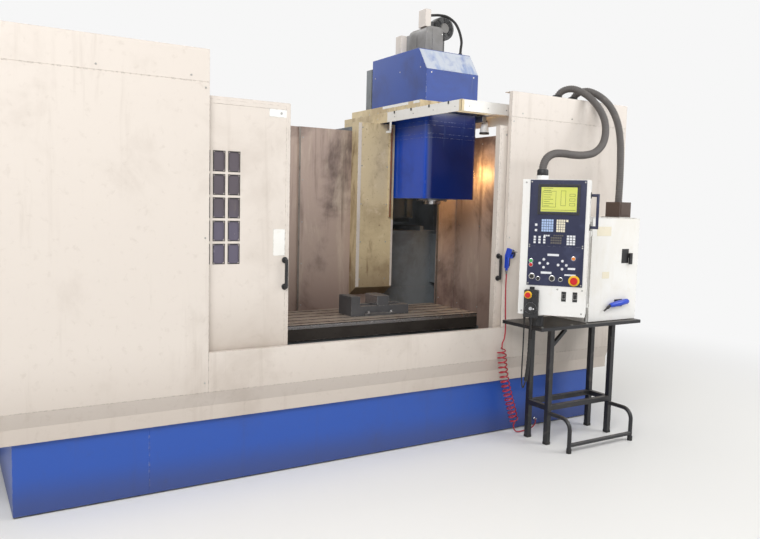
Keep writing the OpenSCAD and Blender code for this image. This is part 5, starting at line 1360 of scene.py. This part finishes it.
class MACHINE_OT_unit(bpy.types.Operator):
    """Makes the canopy's and the head's trim, the motor with its fan and cable, and the work lamp's parts"""
    bl_idname = "machine.unit"
    bl_label = "Canopy and head"

    def canopy(self):
        marks = Shape()
        for y in (0.20, 0.40, 0.60, 0.80):
            marks.plates(((0.6185, y, 1.996), (0.6232, y + 0.011, 2.0125)))
        marks.piece("canopy_notches", "saddle", "Black rubber", "white_panel")
        # A tan strip over the rear of the canopy's left side: partly stain, partly painted shade
        worn = Shape().plates(((0.6208, 0.895, 1.9452), (0.6222, 1.498, 2.0118)))
        worn.piece("canopy_rear_strip", "saddle", "Tan panel", "white_panel")
        corner = Shape().plates(((0.6204, 0.0764, 1.9452), (0.6222, 0.100, 2.0122)),
                                ((0.6204, 0.0764, 1.9452), (0.640, 0.0782, 2.0122)))
        corner.piece("canopy_corner", "saddle", "Tan panel", "white_panel")
        hook = Shape().plates(((0.6202, 0.840, 1.885), (0.6232, 0.862, 1.952)),
                              ((0.6202, 0.840, 1.872), (0.6232, 0.905, 1.888)))
        hook.piece("canopy_bracket", "saddle", "White paint", "white_panel", bevel=0.0006)
        left, front, _ = reach("canopy")[0]
        small, middle_z = 0.004, 1.975
        heads = Shape().screws(grid([left], spread(0.14, 0.22, 7), [middle_z]), TO_LEFT, small)
        heads.screws(grid(spread(0.68, 0.142, 5), [front], [middle_z]), TO_FRONT, small)
        heads.piece("canopy_screws", "saddle", "Zinc", "white_panel")

    def coaming(self):
        left, front, _ = reach("coaming")[0]
        patch = Shape()
        for start, end in ((0.700, 1.020), (0.568, 0.640)):
            patch.plates(((left - 0.0008, start, 2.047), (left + 0.0004, end, 2.0655)))
        patch.piece("coaming_worn_edge", "ram", "White paint", "tan_panel")
        rivet, middle_z = [(0.0045, -0.001), (0.0045, 0.001), (0.003, 0.0022)], 2.026
        rivets = Shape()
        for place in grid([left], spread(0.60, 0.12, 7), [middle_z]):
            rivets.turned(rivet, place, TO_LEFT, 10)
        for place in grid(spread(0.70, 0.106, 6), [front], [middle_z]):
            rivets.turned(rivet, place, TO_FRONT, 10)
        rivets.piece("coaming_rivets", "ram", "Zinc", "tan_panel")

    def upper_cover(self):
        (left, front, _), (right, _, top) = reach("upper_cover")
        hem = Shape().plates(((left + 0.002, front - 0.0014, 2.0115),
                              (right - 0.002, front + 0.0002, 2.0200)))
        hem.piece("upper_cover_hem", "head", "Pale blue", "head_blue")
        slope_rise, slope_run, slope_foot = 0.150, 0.100, 2.280
        angle = math.atan2(slope_rise, slope_run)
        out = Vector((0, -math.sin(angle), math.cos(angle)))
        along = Vector((0, math.cos(angle), math.sin(angle)))
        skin_gap, skin_thick = 0.0004, 0.0008
        slope = Shape().prism([(0.003, 0.004), (0.427, 0.004), (0.427, 0.174), (0.003, 0.174)],
                              at(left, front, slope_foot) + out * skin_gap, TO_RIGHT, along, out * skin_thick)
        slope.piece("upper_cover_worn_slope", "head", "Worn blue", "head_blue")
        small, low_rise = 0.005, 0.002
        heads = Shape()
        for x, way in ((left, TO_LEFT), (right, TO_RIGHT)):
            heads.screws(grid([x], (0.70, 0.95, 1.28), (2.05, 2.30)), way, small, low_rise)
        heads.screws(grid((0.79, 1.14), [front], [2.262]), TO_FRONT, small)
        heads.screws(grid((0.775, 1.155), (0.75, 1.28), [top]), UP, small)
        heads.piece("cover_screws", "head", "Zinc", "head_blue")

    def nose_ring(self):
        """The ring round the spindle's nose, with its screws."""
        low, high = reach("spindle")
        x, y = (low[0] + high[0]) / 2, (low[1] + high[1]) / 2
        face, screw_circle, count = 1.4302, 0.099, 8
        nose = Shape().turned([(0.1085, -0.001), (0.1085, 0.004), (0.092, 0.006)], at(x, y, face), DOWN, 48)
        for i in range(count):
            turn = 2 * math.pi * (i + 0.5) / count
            place = at(x + screw_circle * math.cos(turn), y + screw_circle * math.sin(turn), face - 0.004)
            nose.turned([(0.0070, 0), (0.0070, 0.005)], place, DOWN, 6)
        nose.piece("nose_ring", "head", "Turned steel", "spindle_steel", bevel=0.0006)

    def motor_body(self):
        """The motor with its rounded top, and its terminal boxes."""
        wide, high, sharp, round_ = 0.150, 0.198, 0.035, 0.050
        outline = [(0, 0), (wide, 0)]
        outline += [(wide - sharp + sharp * math.sin(t), high - sharp + sharp * math.cos(t))
                    for t in (math.pi / 2 * i / 6 for i in range(6, -1, -1))]
        outline += [(round_ - round_ * math.sin(t), high - round_ + round_ * math.cos(t))
                    for t in (math.pi / 2 * i / 8 for i in range(9))]
        body = Shape().prism(outline, at(MOTOR_LEFT, MOTOR_FRONT, MOTOR_SEAT), TO_RIGHT, UP, (0, 0.212, 0))
        body.plates(((0.915, 1.082, MOTOR_SEAT), (1.035, 1.140, 2.600)))
        body.piece("spindle_motor_body", "head", "Motor grey", "motor_grey", bevel=0.006,
                   segments=3, stands_for=("spindle_motor",))
        boxes = Shape().plates(((0.918, 0.905, 2.6281), (0.966, 0.990, 2.747)),
                               ((0.790, 1.010, MOTOR_SEAT - 0.0002), (0.838, 1.080, 2.566)))
        boxes.piece("motor_boxes", "head", "Cream paint", "motor_grey", bevel=0.0025)

    def motor_fan(self):
        centre = at(1.150, 1.000, 2.662)
        fan = Shape().turned([(0.079, 0), (0.083, 0.006), (0.083, 0.074), (0.078, 0.080)],
                             centre, TO_REAR, 48)
        fan.plates(((1.045, 1.010, 2.600), (1.100, 1.070, 2.700)),
                   ((1.096, 1.015, MOTOR_SEAT - 0.0002), (1.166, 1.066, 2.600)))
        fan.piece("motor_fan", "head", "Black paint", "motor_grey", bevel=0.002)
        hub = Shape().turned([(0.032, -0.012), (0.036, -0.006), (0.036, 0.004)], centre, TO_REAR, 32)
        hub.piece("motor_fan_hub", "head", "Motor grey", "motor_grey", bevel=0.001)
        self.fan_guard(centre - Vector((0, 0.0045, 0)))

    def fan_guard(self, centre):
        """Wire rings and spokes before the fan."""
        wire, spokes, ring_points = 0.0018, 8, 36
        guard = Shape()
        for radius in (0.046, 0.057, 0.068, 0.079):
            turns = [2 * math.pi * i / ring_points for i in range(ring_points + 1)]
            guard.tube([centre + Vector((math.cos(t), 0, math.sin(t))) * radius for t in turns], wire, 6)
        for i in range(spokes):
            turn = 2 * math.pi * i / spokes
            way = Vector((math.cos(turn), 0, math.sin(turn)))
            guard.rod(centre + way * 0.034, centre + way * 0.080, wire, 6)
        guard.piece("motor_fan_guard", "head", "Black plastic", "motor_grey")

    def motor_trim(self):
        """The motor's seams and the screws of its housing and boxes."""
        seams = Shape().plates(((0.955, 0.8690, 2.450), (0.9575, 0.8702, 2.610)),
                               ((0.8990, 0.9745, 2.450), (0.9002, 0.9770, 2.575)))
        seams.piece("motor_seams", "head", "Dark iron", "motor_grey")
        heads = Shape()
        heads.screws(grid((0.924, 0.960), [0.905], (2.640, 2.738)), TO_FRONT, 0.0024, 0.0015)
        heads.screws(grid((0.912, 1.038), [MOTOR_FRONT], (2.446, 2.580)), TO_FRONT, 0.0045)
        heads.screws(grid((0.796, 0.832), [1.010], (2.440, 2.556)), TO_FRONT, 0.0026, 0.0015)
        heads.piece("motor_screws", "head", "Zinc", "motor_grey")

    def motor_cable(self):
        line = smooth_path(placed(MOTOR_ROUTE), 0.01)
        cable = Shape().tube(line, 0.009, 12)
        cable.piece("motor_cable", "head", "Black rubber", "cable_black", smooth_angle=80)
        end = Shape().gland(at(*MOTOR_ROUTE[-1]), UP, 0.011, 0.020)
        end.piece("motor_cable_gland", "head", "Black plastic", "cable_black")

    def lamp(self):
        low, high = reach("work_lamp")
        x, y = (low[0] + high[0]) / 2, (low[1] + high[1]) / 2
        mouth = low[2]
        lens = Shape().turned([(0.0222, 0.0), (0.0222, 0.012), (0.012, 0.020)],
                              at(x, y, mouth + 0.0025), UP, 32)
        lens.piece("lamp_lens", "saddle", "Lamp lens", "lamp_white")
        rings = Shape().turned([(0.0335, 0), (0.0340, 0.006), (0.0325, 0.012)],
                               at(x, y, mouth - 0.0005), UP, 36)
        rings.turned([(0.0185, 0), (0.0200, 0.004), (0.0185, 0.012)], at(x, y, mouth + 0.080), UP, 24)
        rings.piece("lamp_rings", "saddle", "Black plastic", "lamp_white")
        box = Shape().plates(((1.196, 0.585, 1.966), (1.228, 0.675, 2.0078)))
        box.piece("lamp_switch_box", "saddle", "Zinc", "lamp_white", bevel=0.002)
        lead = Shape().tube(smooth_path(placed(LAMP_ROUTE), 0.004), 0.003, 8)
        lead.piece("lamp_lead", "saddle", "Black rubber", "cable_black", smooth_angle=80)

    def execute(self, context):
        self.canopy()
        self.coaming()
        self.upper_cover()
        self.nose_ring()
        self.motor_body()
        self.motor_fan()
        self.motor_trim()
        self.motor_cable()
        self.lamp()
        return {"FINISHED"}


# Camera, floor and light

# The camera's place as X, depth and Z, and its yaw, pitch and roll
CAMERA_AT = (-2.000, -3.340, 1.380)
CAMERA_YAW, CAMERA_PITCH, CAMERA_ROLL = (math.radians(angle) for angle in (31.49, -5.02, 1.44))
FRAME_WIDTH = 760
FOCAL_PIXELS = 724.5
SENSOR_MM = 36.0

# The floor's half width, and the distances between which it goes over into the background's brightness
FLOOR_REACH = 30
FADE_START, FADE_END = 2.6, 5.6
BACKGROUND = 0.93
WHITE = (1.0, 1.0, 1.0, 1.0)

# Lamps by name: place, aim, width, and share of the key lamp's power
STUDIO_LAMPS = {
    "key_lamp": ((-3.2, -3.6, 4.6), (0.2, 0.3, 1.0), 3.2, 1.0),
    "fill_lamp": ((3.6, -3.0, 3.4), (0.9, 0.2, 1.1), 2.6, 0.38),
    "back_lamp": ((0.5, 5.2, 4.4), (0.2, 1.0, 1.4), 3.4, 0.55),
}


def seen_ray(tree):
    """A mask of the rays that show a surface or the sky: seen by the camera, in a mirror or through glass."""
    seen = connect(tree, "ShaderNodeLightPath")
    either = result(tree, "MAXIMUM", seen.outputs["Is Camera Ray"], seen.outputs["Is Glossy Ray"])
    return result(tree, "MAXIMUM", either, seen.outputs["Is Transmission Ray"])


class MACHINE_OT_stage(bpy.types.Operator):
    """Makes the camera, the plain floor and the studio light"""
    bl_idname = "machine.stage"
    bl_label = "Stage"

    def camera(self, scene):
        flat = math.cos(CAMERA_PITCH)
        ahead = Vector((math.sin(CAMERA_YAW) * flat, math.cos(CAMERA_YAW) * flat, math.sin(CAMERA_PITCH)))
        level = Vector((math.cos(CAMERA_YAW), -math.sin(CAMERA_YAW), 0))
        top = level.cross(ahead)
        right = level * math.cos(CAMERA_ROLL) + top * math.sin(CAMERA_ROLL)
        up = top * math.cos(CAMERA_ROLL) - level * math.sin(CAMERA_ROLL)
        lens = bpy.data.cameras.new("Camera")
        lens.sensor_width = SENSOR_MM
        lens.lens = FOCAL_PIXELS * SENSOR_MM / FRAME_WIDTH
        lens.clip_end = 100.0
        camera = bpy.data.objects.new("Camera", lens)
        scene.collection.objects.link(camera)
        turn = Matrix((right, up, -ahead)).transposed().to_4x4()
        camera.matrix_world = Matrix.Translation(at(*CAMERA_AT)) @ turn
        scene.camera = camera

    def floor(self, scene, color):
        mesh = bpy.data.meshes.new("floor")
        corners = [(x * FLOOR_REACH, y * FLOOR_REACH, 0) for x, y in ((-1, -1), (1, -1), (1, 1), (-1, 1))]
        mesh.from_pydata(corners, [], [(0, 1, 2, 3)])
        floor = bpy.data.objects.new("floor", mesh)
        scene.collection.objects.link(floor)
        mesh.materials.append(self.floor_material(color))

    def floor_material(self, color):
        """Plain floor that goes over into the background far from the machine."""
        made = Finish("Floor", color, 0.6)
        tree = made.material.node_tree
        place = connect(tree, "ShaderNodeNewGeometry")
        away = connect(tree, "ShaderNodeVectorMath", {"operation": "LENGTH"}, i0=place.outputs["Position"])
        far = soft_step(tree, away.outputs["Value"], FADE_START, FADE_END)
        share = result(tree, "MULTIPLY", far, seen_ray(tree))
        glow = connect(tree, "ShaderNodeEmission", Strength=BACKGROUND, Color=WHITE)
        mix = connect(tree, "ShaderNodeMixShader", i0=share, i1=made.shader.outputs[0], i2=glow.outputs[0])
        output = next(node for node in tree.nodes if node.type == "OUTPUT_MATERIAL")
        tree.links.new(mix.outputs[0], output.inputs["Surface"])
        return made.material

    def sky(self, scene, strength):
        """Even light from all round, in front of a background of its own brightness."""
        world = bpy.data.worlds.new("Studio")
        world.use_nodes = True
        scene.world = world
        tree = world.node_tree
        background = tree.nodes["Background"]
        background.inputs["Color"].default_value = WHITE
        level = connect(tree, "ShaderNodeMix", {"data_type": "FLOAT"},
                        i0=seen_ray(tree), i2=strength, i3=BACKGROUND)
        tree.links.new(level.outputs[0], background.inputs["Strength"])

    def work_light(self, scene):
        """The warm light by the work lamp, which travels with the unit."""
        glow = bpy.data.lights.new("work_light", "POINT")
        glow.energy, glow.color, glow.shadow_soft_size = 3.5, (1.0, 0.58, 0.20), 0.05
        made = bpy.data.objects.new("work_light", glow)
        scene.collection.objects.link(made)
        made.location = at(1.262, 0.780, 1.620)
        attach(made, "saddle")

    def studio_lamps(self, scene, power):
        for name, (place, aim, width, share) in STUDIO_LAMPS.items():
            lamp = bpy.data.lights.new(name, "AREA")
            lamp.shape, lamp.size, lamp.energy = "SQUARE", width, power * share
            made = bpy.data.objects.new(name, lamp)
            scene.collection.objects.link(made)
            made.location = at(*place)
            made.rotation_mode = "QUATERNION"
            made.rotation_quaternion = (at(*aim) - at(*place)).to_track_quat("-Z", "Y")

    def execute(self, context):
        scene = context.scene
        studio = scene.machine_studio
        self.camera(scene)
        self.floor(scene, tuple(studio.floor))
        self.sky(scene, studio.sky)
        self.work_light(scene)
        self.studio_lamps(scene, studio.key)
        scene.view_settings.view_transform = "Standard"
        return {"FINISHED"}


STEPS = (MACHINE_OT_finishes, MACHINE_OT_dress, MACHINE_OT_cords, MACHINE_OT_pendant, MACHINE_OT_enclosure,
         MACHINE_OT_cabinets, MACHINE_OT_interior, MACHINE_OT_unit, MACHINE_OT_stage)


class MACHINE_PT_panel(bpy.types.Panel):
    """Lists the steps that dress the machine and the settings they use"""
    bl_label = "Machining Center"
    bl_idname = "MACHINE_PT_panel"
    bl_space_type = "VIEW_3D"
    bl_region_type = "UI"
    bl_category = "Machining Center"

    def draw(self, context):
        column = self.layout.column()
        for step in STEPS:
            column.operator(step.bl_idname)
        scene = context.scene
        for settings in (scene.machine_paint, scene.machine_hoses, scene.machine_studio):
            for label in settings.__annotations__:
                column.prop(settings, label)


CLASSES = (PaintSettings, HoseSettings, StudioSettings) + STEPS + (MACHINE_PT_panel,)


def register():
    """Registers the classes and the settings of the scene."""
    for part in CLASSES:
        bpy.utils.register_class(part)
    bpy.types.Scene.machine_paint = PointerProperty(type=PaintSettings)
    bpy.types.Scene.machine_hoses = PointerProperty(type=HoseSettings)
    bpy.types.Scene.machine_studio = PointerProperty(type=StudioSettings)


def unregister():
    """Removes what register added."""
    del bpy.types.Scene.machine_studio
    del bpy.types.Scene.machine_hoses
    del bpy.types.Scene.machine_paint
    for part in reversed(CLASSES):
        bpy.utils.unregister_class(part)


def main():
    """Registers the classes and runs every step."""
    register()
    for step in STEPS:
        group, name = step.bl_idname.split(".")
        getattr(getattr(bpy.ops, group), name)()


if __name__ == "__main__":
    main()
